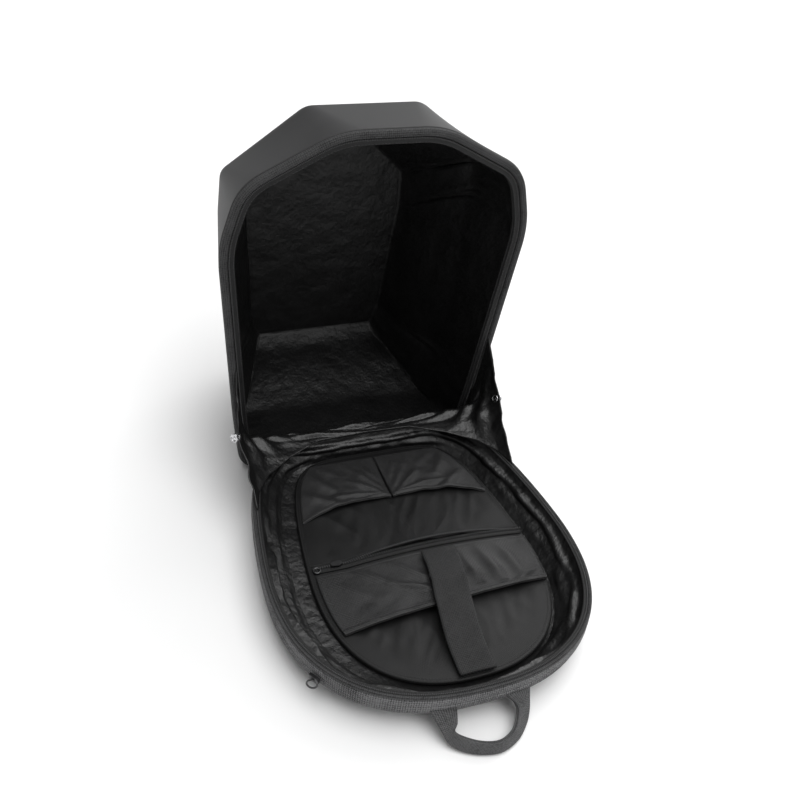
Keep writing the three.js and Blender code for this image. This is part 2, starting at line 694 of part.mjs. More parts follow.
// A flat strip along a list of stations, each with its middle, width direction, width and thickness.
function stripBody(stations) {
  return loftBody(stations.map((station) => {
    const half = station.across.clone().multiplyScalar(station.width / 2);
    const up = station.up.clone().multiplyScalar(station.thickness / 2);
    const inner = half.clone().multiplyScalar(0.88);
    const halfUp = up.clone().multiplyScalar(0.4);
    return [
      station.place.clone().add(half).add(halfUp), station.place.clone().add(inner).add(up),
      station.place.clone().sub(inner).add(up), station.place.clone().sub(half).add(halfUp),
      station.place.clone().sub(half).sub(halfUp), station.place.clone().sub(inner).sub(up),
      station.place.clone().add(inner).sub(up), station.place.clone().add(half).sub(halfUp),
    ];
  }));
}

// The grab loop lies outwards from the near end: flat and broad at its roots, folded narrow in
// the hand's grip. Angles run from the left root round to the right one.
function makeHandle() {
  const stations = [];
  const steps = 20;
  const half = 0.5 * handleSpan;
  const shape = handleShape;
  const wallPlace = (x) => new THREE.Vector3(x, trayNearYAt(x, evenInset(0)), 0);
  const rootHeight = trayFoot + shape.rootRise * trayHeight;
  const gripHeight = 0.5 * handleGripWidth + handleThickness / 2;
  for (let i = 0; i <= steps; i++) {
    const angle = (Math.PI * i) / steps;
    const side = Math.cos(angle);
    const reach = Math.sin(angle) ** 0.8;
    const grip = THREE.MathUtils.smoothstep(Math.sin(angle), shape.foldStart, shape.foldEnd);
    const drop = THREE.MathUtils.smoothstep(reach, 0, shape.foldEnd);
    const x = handleOffset - half * side * (1 + shape.bow * reach);
    const root = wallPlace(handleOffset - half * Math.sign(side));
    const place = new THREE.Vector3(x, root.y - touchGap - handleReach * reach,
      THREE.MathUtils.lerp(rootHeight, gripHeight, drop));
    const slope = new THREE.Vector3(Math.sin(angle), -shape.turn * side, 0).normalize();
    const flat = new THREE.Vector3(-slope.y, slope.x, 0);
    const atRoot = i === 0 || i === steps;
    if (atRoot) {
      flat.copy(wallPlace(x + 1).sub(wallPlace(x - 1)).normalize().multiplyScalar(Math.sign(side)));
    }
    const lean = atRoot ? 0 : THREE.MathUtils.lerp(shape.rootLean, shape.gripLean, grip);
    const across = flat.multiplyScalar(1 - lean).add(new THREE.Vector3(0, 0, lean)).normalize();
    const up = slope.clone().cross(across).normalize();
    const width = THREE.MathUtils.lerp(handleWidth, handleGripWidth, grip);
    const thickness = THREE.MathUtils.lerp(handleThickness, shape.fold * handleThickness, grip);
    stations.push({ place, across, up, width, thickness });
  }
  addPiece('handle', stripBody(stations), 'webbing');
}

function roundedPlate(width, length, radius, thickness, holes = []) {
  const plate = new THREE.Shape();
  const x = width / 2;
  const y = length / 2;
  plate.moveTo(-x + radius, -y);
  plate.lineTo(x - radius, -y);
  plate.quadraticCurveTo(x, -y, x, -y + radius);
  plate.lineTo(x, y - radius);
  plate.quadraticCurveTo(x, y, x - radius, y);
  plate.lineTo(-x + radius, y);
  plate.quadraticCurveTo(-x, y, -x, y - radius);
  plate.lineTo(-x, -y + radius);
  plate.quadraticCurveTo(-x, -y, -x + radius, -y);
  plate.holes.push(...holes);
  return new THREE.ExtrudeGeometry(plate, { depth: thickness, bevelEnabled: false, curveSegments: 4 });
}

function slotHole(width, length, y) {
  const hole = new THREE.Path();
  hole.moveTo(-width / 2, y - length / 2);
  hole.lineTo(-width / 2, y + length / 2);
  hole.lineTo(width / 2, y + length / 2);
  hole.lineTo(width / 2, y - length / 2);
  hole.closePath();
  return hole;
}

function makePlate(name, width, length, radius, near) {
  const plate = addPiece(name, roundedPlate(width, length, radius, strapPadThickness), 'padding');
  plate.position.y = near + length / 2;
}

// Under the tray: a yoke at the near end, two padded straps, their webbing and buckles, and the
// pad for the wearer's back between them.
function makeStraps() {
  const yokeNear = trayNear + strapShape.yokeNear * trayLength;
  const padNear = yokeNear + yokeLength + touchGap;
  makePlate('strap_yoke', yokeWidth, yokeLength, cornerRadius, yokeNear);
  makePlate('back_pad', backPadWidth, backPadLength, 1.5 * cornerRadius, padNear);
  for (const [word, side] of [['left', -1], ['right', 1]]) {
    makeShoulderStrap(word, side, padNear, yokeNear + strapShape.strapRun * trayLength);
  }
}

function makeShoulderStrap(word, side, start, end) {
  const vertical = new THREE.Vector3(0, 0, 1);
  const inside = backPadWidth / 2 + strapShape.inside * shoulderStrapWidth;
  const placeAt = (bow, y) => new THREE.Vector3(side * (inside + bow * shoulderStrapWidth), y, 0);
  const route = new THREE.CatmullRomCurve3([
    placeAt(0, start), placeAt(strapShape.bowEarly, THREE.MathUtils.lerp(start, end, 0.25)),
    placeAt(strapShape.bowLate, THREE.MathUtils.lerp(start, end, 0.6)), placeAt(strapShape.bowEnd, end),
  ]);
  const stations = [];
  const steps = 8;
  for (let i = 0; i <= steps; i++) {
    const place = route.getPoint(i / steps).setZ(strapPadThickness / 2);
    const atEnd = i === 0 || i === steps;
    const tangent = atEnd ? new THREE.Vector3(0, 1, 0) : route.getTangent(i / steps);
    const across = tangent.clone().cross(vertical).normalize();
    const width = shoulderStrapWidth * (1 - strapShape.taper * (i / steps) ** 2);
    stations.push({ place, across, up: vertical, width, thickness: strapPadThickness });
  }
  addPiece(`shoulder_strap_${word}`, stripBody(stations), 'padding');

  const x = side * (inside + strapShape.bowEnd * shoulderStrapWidth);
  const webbingStart = end + touchGap;
  const webbingEnd = trayNear + strapShape.webbingRun * trayLength;
  const low = webbingThickness / 2 + touchGap;
  const high = trayFoot - touchGap - webbingThickness / 2;
  const webbing = [[0, 0], [0.55, 0], [0.7, 0.35], [0.85, 0.85], [1, 1]].map(([share, rise]) => ({
    place: new THREE.Vector3(x - side * 0.25 * webbingWidth * share,
      THREE.MathUtils.lerp(webbingStart, webbingEnd, share), THREE.MathUtils.lerp(low, high, rise)),
    across: new THREE.Vector3(1, 0, 0), up: vertical, width: webbingWidth, thickness: webbingThickness,
  }));
  addPiece(`strap_webbing_${word}`, stripBody(webbing), 'webbing');

  const slotWidth = webbingWidth + 4 * clothGap;
  const slots = [-1, 1].map((way) => slotHole(slotWidth, buckleSlot, way * 0.2 * buckleLength));
  const shape = roundedPlate(buckleWidth, buckleLength, 0.4 * cornerRadius, buckleThickness, slots);
  const buckle = addPiece(`strap_buckle_${word}`, shape, 'plastic');
  const buckleY = webbingStart + touchGap + buckleLength / 2;
  buckle.position.set(x, buckleY, low + webbingThickness / 2 + touchGap);
}

makeShell();
makeTray();
makePhonePocket('phone_pocket_left', -1);
makePhonePocket('phone_pocket_right', 1);
makeZipPocket();
makeLaptopSleeve();
makeGusset();
makeMainSlider();
makeHandle();
makeStraps();

// The origin is the middle of the box's base.
bag.updateMatrixWorld(true);
const box = new THREE.Box3().setFromObject(bag);
bag.position.y = -(box.min.y + box.max.y) / 2;

export default bag;
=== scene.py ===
import math

import bpy
from mathutils import Matrix, Vector, noise


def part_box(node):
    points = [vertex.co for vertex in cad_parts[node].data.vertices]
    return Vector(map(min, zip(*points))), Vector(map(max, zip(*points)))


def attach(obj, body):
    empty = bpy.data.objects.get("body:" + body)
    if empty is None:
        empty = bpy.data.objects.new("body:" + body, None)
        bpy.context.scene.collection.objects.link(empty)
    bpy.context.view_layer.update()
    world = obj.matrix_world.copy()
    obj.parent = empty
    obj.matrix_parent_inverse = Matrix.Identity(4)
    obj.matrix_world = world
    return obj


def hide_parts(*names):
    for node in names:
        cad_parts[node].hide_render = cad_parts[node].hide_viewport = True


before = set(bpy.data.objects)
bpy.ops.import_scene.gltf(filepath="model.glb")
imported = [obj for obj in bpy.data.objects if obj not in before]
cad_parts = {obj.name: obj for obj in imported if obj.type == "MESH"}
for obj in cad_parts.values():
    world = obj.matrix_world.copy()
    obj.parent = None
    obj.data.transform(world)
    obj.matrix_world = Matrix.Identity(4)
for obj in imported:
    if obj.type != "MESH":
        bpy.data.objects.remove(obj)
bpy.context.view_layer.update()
mm = 0.001


# Small helpers

def lerp(a, b, t):
    return a + (b - a) * t


def clamp01(t):
    return min(max(t, 0.0), 1.0)


def smooth(t):
    t = clamp01(t)
    return t * t * (3 - 2 * t)


def ripple(x, y=0.0, z=0.0):
    return noise.noise(Vector((x, y, z)))


def ridges(table, u, v):  # folds between two places of a cloth, in shares across and along it
    height = 0.0
    for fromU, fromV, toU, toV, rise, breadth in table:
        runU, runV = toU - fromU, toV - fromV
        share = ((u - fromU) * runU + (v - fromV) * runV) / (runU ** 2 + runV ** 2)
        along = clamp01(share)
        aside = math.hypot(u - fromU - along * runU, v - fromV - along * runV)
        fade = 1 - 0.6 * abs(2 * along - 1) ** 2
        height += rise * fade * math.exp(-((aside / breadth) ** 2))
    return height


def softened(rows, times, ring=False):  # evens out a grid of points, with its edges kept
    for _ in range(times):
        fresh = [list(row) for row in rows]
        for r in range(1, len(rows) - 1):
            count = len(rows[r])
            for i in range(count):
                if not ring and i in (0, count - 1):
                    continue
                around = rows[r - 1][i] + rows[r + 1][i] + rows[r][i - 1] + rows[r][(i + 1) % count]
                fresh[r][i] = rows[r][i] * 0.4 + around * 0.15
        rows = fresh
    return rows


def circle(steps):  # angles that step evenly round a circle
    return [2 * math.pi * k / steps for k in range(steps)]


def lengthsAlong(points, ring):
    steps = list(zip(points, points[1:] + points[:1])) if ring else list(zip(points, points[1:]))
    total = [0.0]
    for a, b in steps:
        total.append(total[-1] + (b - a).length)
    return total


def placed(name, data):
    piece = bpy.data.objects.new(name, data)
    bpy.context.scene.collection.objects.link(piece)
    return piece


def shadeSmooth(mesh):
    mesh.polygons.foreach_set("use_smooth", [True] * len(mesh.polygons))


def gridPiece(name, rows, finish, ring=False, hoop=False, caps="", cloth=0.0, side=1.0):
    # rows of points joined by quads; ring closes each row, hoop joins the last row to the first
    count, depth = len(rows[0]), len(rows)
    faces, corners = [], []
    around = lengthsAlong(rows[depth // 2], ring)
    middle = count // 2
    down = lengthsAlong([row[middle] for row in rows], hoop)
    for r in range(depth if hoop else depth - 1):
        for i in range(count if ring else count - 1):
            j, below = (i + 1) % count, (r + 1) % depth
            faces.append((r * count + i, r * count + j, below * count + j, below * count + i))
            corners.append([(around[i], down[r]), (around[i + 1], down[r]),
                            (around[i + 1], down[r + 1]), (around[i], down[r + 1])])
    for end, row, order in (("first", 0, range(count - 1, -1, -1)), ("last", depth - 1, range(count))):
        if end in caps:
            faces.append(tuple(row * count + i for i in order))
            corners.append([tuple(rows[row][i].xy) for i in order])
    mesh = bpy.data.meshes.new(name)
    mesh.from_pydata([tuple(p) for row in rows for p in row], [], faces)
    layer = mesh.uv_layers.new(name="cloth")
    layer.data.foreach_set("uv", [x for face in corners for corner in face for x in corner])
    shadeSmooth(mesh)
    mesh.materials.append(finish)
    piece = placed(name, mesh)
    if cloth:
        solid = piece.modifiers.new("thickness", "SOLIDIFY")
        solid.thickness = cloth
        solid.offset = -side
    return piece


def facesOut(piece):  # turns a closed body's faces outwards
    mesh = piece.data
    volume = 0.0
    for polygon in mesh.polygons:
        first = mesh.vertices[polygon.vertices[0]].co
        for a, b in zip(polygon.vertices[1:], polygon.vertices[2:]):
            volume += first.dot(mesh.vertices[a].co.cross(mesh.vertices[b].co))
    if volume < 0:
        mesh.flip_normals()
    return piece


def spaced(points, pitch, ring=False):  # places at an even pitch along a line, each with its direction
    total = lengthsAlong(points, ring)
    count = max(2, round(total[-1] / pitch))
    places, at = [], 0
    line = points + points[:1] if ring else points
    for k in range(count if ring else count + 1):
        goal = total[-1] * k / count
        while at < len(total) - 2 and total[at + 1] < goal:
            at += 1
        share = (goal - total[at]) / max(total[at + 1] - total[at], 1e-9)
        forward = (line[at + 1] - line[at]).normalized()
        places.append((line[at].lerp(line[at + 1], share), forward, at, share))
    return places


beads = {  # each row's pitch, and the length, width and height of its bits, in mm
    "shell coil": (1.7, 2.2, 1.0, 1.3), "shell tape": (3.4, 2.3, 0.55, 0.5),
    "shell binding": (3.6, 2.5, 0.6, 0.5), "tray coil": (1.7, 2.4, 1.0, 1.3),
    "tray tape": (3.4, 2.3, 0.5, 0.45), "panel": (3.4, 2.4, 0.5, 0.5), "pocket": (3.2, 2.2, 0.5, 0.5),
    "teeth": (2.5, 3.2, 1.3, 1.8), "strap": (3.4, 2.2, 0.5, 0.45), "handle": (3.2, 2.2, 0.5, 0.45),
}


def beadRow(name, points, ups, finish, kind, ring=False, turned=0.0):
    # a row of small rounded bits along a line: stitches lie along it, zip teeth across it
    pitch, length, width, height = (size * mm for size in beads[kind])
    verts, faces = [], []
    sides = 6
    for place, forward, at, share in spaced(points, pitch, ring):
        up = ups[at].lerp(ups[(at + 1) % len(ups)], share).normalized()
        across = forward.cross(up).normalized()
        run = forward * math.cos(turned) + across * math.sin(turned)
        beside = run.cross(up).normalized()
        base = len(verts)
        verts.append(place - run * length / 2)
        for reach in (-0.3, 0.3):
            for a in circle(sides):
                verts.append(place + run * reach * length + beside * math.cos(a) * width / 2
                             + up * math.sin(a) * height / 2)
        verts.append(place + run * length / 2)
        for s in range(sides):
            t = (s + 1) % sides
            faces.append((base, base + 1 + t, base + 1 + s))
            faces.append((base + 1 + s, base + 1 + t, base + 1 + sides + t, base + 1 + sides + s))
            faces.append((base + 1 + sides + s, base + 1 + sides + t, base + 1 + 2 * sides))
    mesh = bpy.data.meshes.new(name)
    mesh.from_pydata([tuple(p) for p in verts], [], faces)
    shadeSmooth(mesh)
    mesh.materials.append(finish)
    return facesOut(placed(name, mesh))


def settle(piece, slot, *nodes):
    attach(piece, "root")
    if nodes:
        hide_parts(*nodes)
    return piece


def clothSheet(piece, rows, ring=False):  # prints a cloth's size as cut and its area
    wide = max(lengthsAlong(row, ring)[-1] for row in rows)
    long = max(lengthsAlong([row[i] for row in rows], False)[-1] for i in range(len(rows[0])))
    area = 0.0
    for a, b in zip(rows, rows[1:]):
        for i in range(len(a) if ring else len(a) - 1):
            j = (i + 1) % len(a)
            area += ((b[i] - a[i]).cross(a[j] - a[i])).length
    area = min(max(area, 0.31 * wide * long), wide * long)
    print(piece.name, "cut to", round(wide, 3), round(long, 3), "area", round(area, 4))


# Finishes

def startFinish(name, roughness, metallic=0.0, sheen=0.0, specular=0.5):
    material = bpy.data.materials.new(name)
    material.use_nodes = True
    nodes, links = material.node_tree.nodes, material.node_tree.links
    shader = nodes["Principled BSDF"]
    shader.inputs["Roughness"].default_value = roughness
    shader.inputs["Metallic"].default_value = metallic
    shader.inputs["Sheen Weight"].default_value = sheen
    shader.inputs["Sheen Roughness"].default_value = 0.4
    shader.inputs["Specular IOR Level"].default_value = specular
    return material, nodes, links, shader


def mathNode(nodes, links, kind, first, second=None):
    node = nodes.new("ShaderNodeMath")
    node.operation = kind
    for socket, value in zip(node.inputs, (first, second)):
        if value is None:
            continue
        if isinstance(value, (int, float)):
            socket.default_value = value
        else:
            links.new(value, socket)
    return node.outputs[0]


def noiseNode(nodes, links, vector, scale, detail=3.0, roughness=0.6):
    node = nodes.new("ShaderNodeTexNoise")
    node.inputs["Scale"].default_value = scale
    node.inputs["Detail"].default_value = detail
    node.inputs["Roughness"].default_value = roughness
    links.new(vector, node.inputs["Vector"])
    return node.outputs["Fac"]


def rampNode(nodes, links, factor, stops):
    node = nodes.new("ShaderNodeValToRGB")
    ramp = node.color_ramp
    while len(ramp.elements) < len(stops):
        ramp.elements.new(0.5)
    for element, (place, grey) in zip(ramp.elements, stops):
        element.position = place
        element.color = (grey, grey, grey * 1.02, 1)
    links.new(factor, node.inputs["Fac"])
    return node.outputs["Color"]


def bumpNode(nodes, links, height, distance, strength=1.0, under=None):
    node = nodes.new("ShaderNodeBump")
    node.inputs["Distance"].default_value = distance
    node.inputs["Strength"].default_value = strength
    links.new(height, node.inputs["Height"])
    if under is not None:
        links.new(under, node.inputs["Normal"])
    return node.outputs["Normal"]


def roughnessFrom(nodes, links, shader, factor, low, high):
    node = nodes.new("ShaderNodeMapRange")
    node.inputs["To Min"].default_value = low
    node.inputs["To Max"].default_value = high
    links.new(factor, node.inputs["Value"])
    links.new(node.outputs["Result"], shader.inputs["Roughness"])


def wovenFinish(name, dark, light, threads, bump, rough, speckle=0.6, sheen=0.04, specular=0.25,
                laid="UV"):
    # plain weave along the cloth's own length and width, with uneven threads
    material, nodes, links, shader = startFinish(name, rough, sheen=sheen, specular=specular)
    cloth = nodes.new("ShaderNodeTexCoord").outputs[laid]
    scaled = nodes.new("ShaderNodeMapping")
    scaled.inputs["Scale"].default_value = (threads, threads, 1)
    links.new(cloth, scaled.inputs["Vector"])
    split = nodes.new("ShaderNodeSeparateXYZ")
    links.new(scaled.outputs["Vector"], split.inputs["Vector"])
    threadsUp = []
    for axis in ("X", "Y"):
        turned = mathNode(nodes, links, "MULTIPLY", split.outputs[axis], math.pi)
        threadsUp.append(mathNode(nodes, links, "ABSOLUTE", mathNode(nodes, links, "SINE", turned)))
    checker = nodes.new("ShaderNodeTexChecker")
    checker.inputs["Scale"].default_value = 1.0
    links.new(scaled.outputs["Vector"], checker.inputs["Vector"])
    weave = nodes.new("ShaderNodeMix")
    links.new(checker.outputs["Fac"], weave.inputs["Factor"])
    links.new(threadsUp[0], weave.inputs[2])
    links.new(threadsUp[1], weave.inputs[3])
    uneven = noiseNode(nodes, links, scaled.outputs["Vector"], 0.55, 4.0, 0.75)
    blotches = noiseNode(nodes, links, cloth, 28.0, 3.0)
    speckled = mathNode(nodes, links, "MULTIPLY", uneven, speckle)
    body = mathNode(nodes, links, "MULTIPLY", weave.outputs[0], 1 - speckle)
    both = mathNode(nodes, links, "ADD", speckled, body)
    patched = mathNode(nodes, links, "MULTIPLY", both, mathNode(nodes, links, "ADD", blotches, 0.5))
    colour = rampNode(nodes, links, patched, [(0.38, dark), (0.6, light)])
    links.new(colour, shader.inputs["Base Color"])
    relief = mathNode(nodes, links, "ADD", weave.outputs[0], uneven)
    links.new(bumpNode(nodes, links, relief, bump), shader.inputs["Normal"])
    return material


def mouldedFinish(name, grey):
    material, nodes, links, shader = startFinish(name, 0.5, specular=0.15)
    place = nodes.new("ShaderNodeTexCoord").outputs["Object"]
    grain = noiseNode(nodes, links, place, 900.0, 2.0)
    blotches = noiseNode(nodes, links, place, 14.0, 4.0)
    colour = rampNode(nodes, links, blotches, [(0.3, grey * 0.9), (0.7, grey * 1.1)])
    links.new(colour, shader.inputs["Base Color"])
    roughnessFrom(nodes, links, shader, blotches, 0.46, 0.56)
    links.new(bumpNode(nodes, links, grain, 0.12 * mm, 0.5), shader.inputs["Normal"])
    return material


def satinFinish(name, grey, rough, specular):
    material, nodes, links, shader = startFinish(name, rough, specular=specular)
    place = nodes.new("ShaderNodeTexCoord").outputs["Object"]
    crumple = noiseNode(nodes, links, place, 38.0, 6.0, 0.6)
    fine = noiseNode(nodes, links, place, 700.0, 2.0)
    colour = rampNode(nodes, links, crumple, [(0.3, grey * 0.75), (0.7, grey * 1.25)])
    links.new(colour, shader.inputs["Base Color"])
    roughnessFrom(nodes, links, shader, crumple, rough - 0.06, rough + 0.08)
    wrinkled = bumpNode(nodes, links, crumple, 4.5 * mm, 0.8)
    links.new(bumpNode(nodes, links, fine, 0.08 * mm, 0.6, wrinkled), shader.inputs["Normal"])
    return material


def plainFinish(name, grey, rough, metallic=0.0, grainScale=400.0, bump=0.05 * mm):
    material, nodes, links, shader = startFinish(name, rough, metallic)
    place = nodes.new("ShaderNodeTexCoord").outputs["Object"]
    grain = noiseNode(nodes, links, place, grainScale, 3.0)
    colour = rampNode(nodes, links, grain, [(0.3, grey * 0.88), (0.7, grey * 1.12)])
    links.new(colour, shader.inputs["Base Color"])
    roughnessFrom(nodes, links, shader, grain, max(rough - 0.07, 0.05), rough + 0.07)
    links.new(bumpNode(nodes, links, grain, bump, 0.6), shader.inputs["Normal"])
    return material


moulded = mouldedFinish("moulded shell", 0.045)
binding = wovenFinish("woven binding", 0.005, 0.06, 480, 0.4 * mm, 0.75)
heavyCloth = wovenFinish("heavy woven cloth", 0.006, 0.2, 430, 0.6 * mm, 0.8)
zipTape = wovenFinish("zip tape", 0.006, 0.016, 900, 0.12 * mm, 0.6, 0.4)
pocketCloth = wovenFinish("pocket nylon", 0.006, 0.024, 900, 0.14 * mm, 0.44, 0.6, 0.04, 0.42)
# the same nylon as the pockets, darkened: its darker colour is painted shade on the panel
shadedPanelCloth = wovenFinish("panel nylon with painted shade", 0.003, 0.01, 900, 0.1 * mm, 0.44, 0.6, 0.0, 0.24)
sleeveCloth = wovenFinish("sleeve nylon", 0.004, 0.026, 520, 0.2 * mm, 0.46, 0.7, 0.03, 0.28)
webbingCloth = wovenFinish("webbing", 0.004, 0.03, 560, 0.3 * mm, 0.7)
handleWebbing = wovenFinish("handle webbing", 0.006, 0.13, 850, 0.4 * mm, 0.7)
strapWebbing = plainFinish("strap webbing", 0.03, 0.75, 0.0, 420.0, 0.4 * mm)
padCloth = wovenFinish("strap padding cloth", 0.008, 0.05, 420, 0.4 * mm, 0.8, laid="Object")
satin = satinFinish("satin lining", 0.007, 0.34, 0.6)
shellLining = satinFinish("shell lining", 0.008, 0.42, 0.4)
thread = plainFinish("sewing thread", 0.045, 0.6)
darkThread = plainFinish("dark thread", 0.018, 0.6)
zipCoil = plainFinish("zip coil", 0.05, 0.3)
brightMetal = plainFinish("bright snap metal", 0.75, 0.24, 1.0)
darkMetal = plainFinish("dark zip metal", 0.09, 0.3, 1.0)
buckleBlack = plainFinish("buckle plastic", 0.02, 0.45)
print("finishes ready")


# Shell, in shares of the frame's own sizes

shellLow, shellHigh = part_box("shell")
rimY = shellLow.y
shellHalf, shellTall, shellDeep = shellHigh.x, shellHigh.z, shellHigh.y - shellLow.y

shell = {
    "names": ("depth", "topX", "topZ", "shoulderX", "shoulderZ", "wideX", "wideZ", "lowX", "lowZ",
              "footX", "footZ", "round"),
    "sections": [
        (0, 0.32, 1, 0.885, 0.877, 1, 0.714, 0.888, 0.18, 0.83, 0, 0.06),
        (0.46, 0.365, 0.971, 0.876, 0.811, 0.885, 0.7, 0.794, 0.18, 0.71, 0, 0.018),
        (0.93, 0.34, 0.79, 0.62, 0.68, 0.635, 0.56, 0.56, 0.17, 0.5, 0.085, 0.02),
        (1, 0.3, 0.76, 0.57, 0.66, 0.585, 0.555, 0.52, 0.185, 0.46, 0.115, 0.02),
    ],
    "crease": 0.03, "curveSteps": 8, "straightSteps": 8, "outsideSteps": 56, "insideSteps": 24,
    "endShares": (0.2, 0.4, 0.6, 0.8, 0.93, 0.985), "insideStart": 0.04,
    "wall": 3 * mm, "lip": 15.5 * mm, "lipThickness": 3 * mm, "lipEdge": 1 * mm, "gap": 0.4 * mm,
    "bindingWidth": 8 * mm, "bindingDepth": 5.6 * mm, "bindingRound": 0.55, "bindingStitch": 0.86,
    "tapeWidth": 6.9 * mm, "tapeDepth": 2.4 * mm, "tapeShoulder": 0.6 * mm, "tapeCrown": 1.1,
    "coilInset": 0.9 * mm, "tapeStitch": 1.1 * mm,
    "liningOffset": 0.7 * mm, "liningSlack": 9 * mm, "liningSteps": 45, "cloth": 1.0 * mm,
}


def plainSection(share):  # the section's shares between the two rows next to it
    rows = shell["sections"]
    share = clamp01(share)
    for a, b in zip(rows, rows[1:]):
        if share <= b[0]:
            t = (share - a[0]) / (b[0] - a[0])
            return [lerp(x, y, t) for x, y in zip(a, b)]
    return list(rows[-1])


def shellSection(share):  # the creases between facets are slightly round
    width = min(shell["crease"], share, 1 - share)
    picks = [plainSection(share + width * k / 3) for k in range(-3, 4)]
    return dict(zip(shell["names"], [sum(column) / len(picks) for column in zip(*picks)]))


def shellLoop(share, inset=0.0, back=0.0):
    share = clamp01(share)
    s = shellSection(share)
    right = [Vector((s[n + "X"] * shellHalf, s[n + "Z"] * shellTall))
             for n in ("foot", "low", "wide", "shoulder", "top")]
    corners = right + [Vector((-c.x, c.y)) for c in reversed(right)]
    radius = s["round"] * shellTall
    curves = []
    for i, corner in enumerate(corners):
        toLast, toNext = corners[i - 1] - corner, corners[(i + 1) % len(corners)] - corner
        cut = min(radius, 0.45 * toLast.length, 0.45 * toNext.length)
        start, end = corner + toLast.normalized() * cut, corner + toNext.normalized() * cut
        steps = shell["curveSteps"]
        curves.append([start.lerp(corner, k / steps).lerp(corner.lerp(end, k / steps), k / steps)
                       for k in range(steps + 1)])
    outline = []
    for i, curve in enumerate(curves):
        outline += curve
        after = curves[(i + 1) % len(curves)][0]
        steps = shell["straightSteps"]
        outline += [curve[-1].lerp(after, k / steps) for k in range(1, steps)]
    y = rimY + share * shellDeep - back
    loop = []
    for i, point in enumerate(outline):
        before, after = outline[i - 1], outline[(i + 1) % len(outline)]
        inward = Vector((before.y - after.y, after.x - before.x)).normalized()
        loop.append(Vector((point.x + inset * inward.x, y, point.y + inset * inward.y)))
    return loop


def rimLoop(inset, out):
    return [Vector((p.x, rimY - out, p.z)) for p in shellLoop(0, inset)]


def towardsMiddle(loop, shares):  # smaller copies of a loop, for a flat end
    middle = sum(loop, Vector()) / len(loop)
    return [[middle.lerp(point, share) for point in loop] for share in shares]


def makeShell():
    wall, lip, edge, low = (shell[n] for n in ("wall", "lip", "lipEdge", "lipThickness"))
    outside, inside, first = (shell[n] for n in ("outsideSteps", "insideSteps", "insideStart"))
    rows = towardsMiddle(shellLoop(1), shell["endShares"])
    rows += [shellLoop(1 - k / outside) for k in range(outside + 1)]
    rows += [rimLoop(edge, 0), rimLoop(lip - edge, 0), rimLoop(lip, -edge / 2), rimLoop(lip, -low),
             rimLoop(wall, -low)]
    rows += [shellLoop(first + (1 - first) * k / inside, wall, wall * k / inside)
             for k in range(inside + 1)]
    rows += reversed(towardsMiddle(rows[-1], shell["endShares"]))
    body = gridPiece("moulded_shell", rows, moulded, ring=True, caps="first last")
    settle(facesOut(body), "moulded_shell", "shell")

    gap, width, depth = shell["gap"], shell["bindingWidth"], shell["bindingDepth"]
    arc = [math.pi * k / 12 for k in range(13)]
    bindRows = [rimLoop(gap + width / 2 - width / 2 * math.cos(a),
                        gap + (depth - gap) * math.sin(a) ** shell["bindingRound"]) for a in arc]
    band = gridPiece("shell_binding", bindRows, binding, ring=True, hoop=True)
    settle(facesOut(band), "woven_cloth", "shell_rim_binding")

    start = gap + width + gap
    end = start + shell["tapeWidth"] - gap
    out = shell["tapeDepth"]
    profile = [(start, gap), (start, out), (start + shell["tapeShoulder"], out + gap),
               (lerp(start, end, 0.4), out + gap * shell["tapeCrown"]), (lerp(start, end, 0.75), out + gap),
               (end, out), (end, gap)]
    tapeRows = [rimLoop(inset, forward) for inset, forward in profile]
    tape = gridPiece("shell_zip_band", tapeRows, zipTape, ring=True, hoop=True)
    settle(facesOut(tape), "smooth_tape", "shell_zip_tape")

    outward = [Vector((0, -1, 0))] * len(rimLoop(0, 0))
    coil = beadRow("shell_zip_coil", rimLoop(start + shell["coilInset"], out + gap), outward, zipCoil,
                   "shell coil", ring=True, turned=math.pi / 2)
    settle(coil, "smooth_tape")
    line = rimLoop(end - shell["tapeStitch"], out + gap)
    settle(beadRow("shell_band_stitches", line, outward, thread, "shell tape", ring=True), "smooth_tape")
    share = shell["bindingStitch"]
    line = rimLoop(gap + width * share, depth * share)
    sewn = beadRow("shell_binding_stitches", line, outward, darkThread, "shell binding", ring=True)
    settle(sewn, "woven_cloth")
    print("shell, rim bands and stitches ready")


def makeShellLining():
    wall = shell["wall"] + shell["liningOffset"]
    steps = shell["liningSteps"]
    rows = []
    count = len(shellLoop(0))
    start = (shell["lipThickness"] + shell["gap"]) / shellDeep
    for k in range(steps + 1):
        share = lerp(start, 1, k / steps)
        base = shellLoop(share, wall, wall * k / steps)
        inner = shellLoop(share, wall + shell["liningSlack"], wall * k / steps)
        hang = math.sin(math.pi * (k / steps)) ** 0.6
        row = []
        for i in range(count):
            a = 2 * math.pi * i / count
            x, y = math.cos(a), math.sin(a)
            broad = abs(ripple(5 * x, 5 * y, 2.2 * share))
            small = abs(ripple(12 * x, 12 * y, 3 * share + 7))
            fold = 0.55 * broad + 0.35 * small
            row.append(base[i].lerp(inner[i], clamp01(fold * hang)))
        rows.append(row)
    rows += reversed(towardsMiddle(rows[-1], shell["endShares"]))
    lining = gridPiece("shell_inside_lining", rows, shellLining, ring=True, caps="last",
                       cloth=shell["cloth"], side=-1)
    settle(lining, "satin_lining", "shell_lining")
    clothSheet(lining, rows, ring=True)
    print("shell lining ready")


makeShell()
makeShellLining()


# Tray, in the frame's own sizes

trayLow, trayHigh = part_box("tray_wall")
trayHalf, trayLength = trayHigh.x, trayHigh.y - trayLow.y
trayFoot, trayRim = trayLow.z, trayHigh.z
trayFar, trayNear = trayHigh.y, trayLow.y

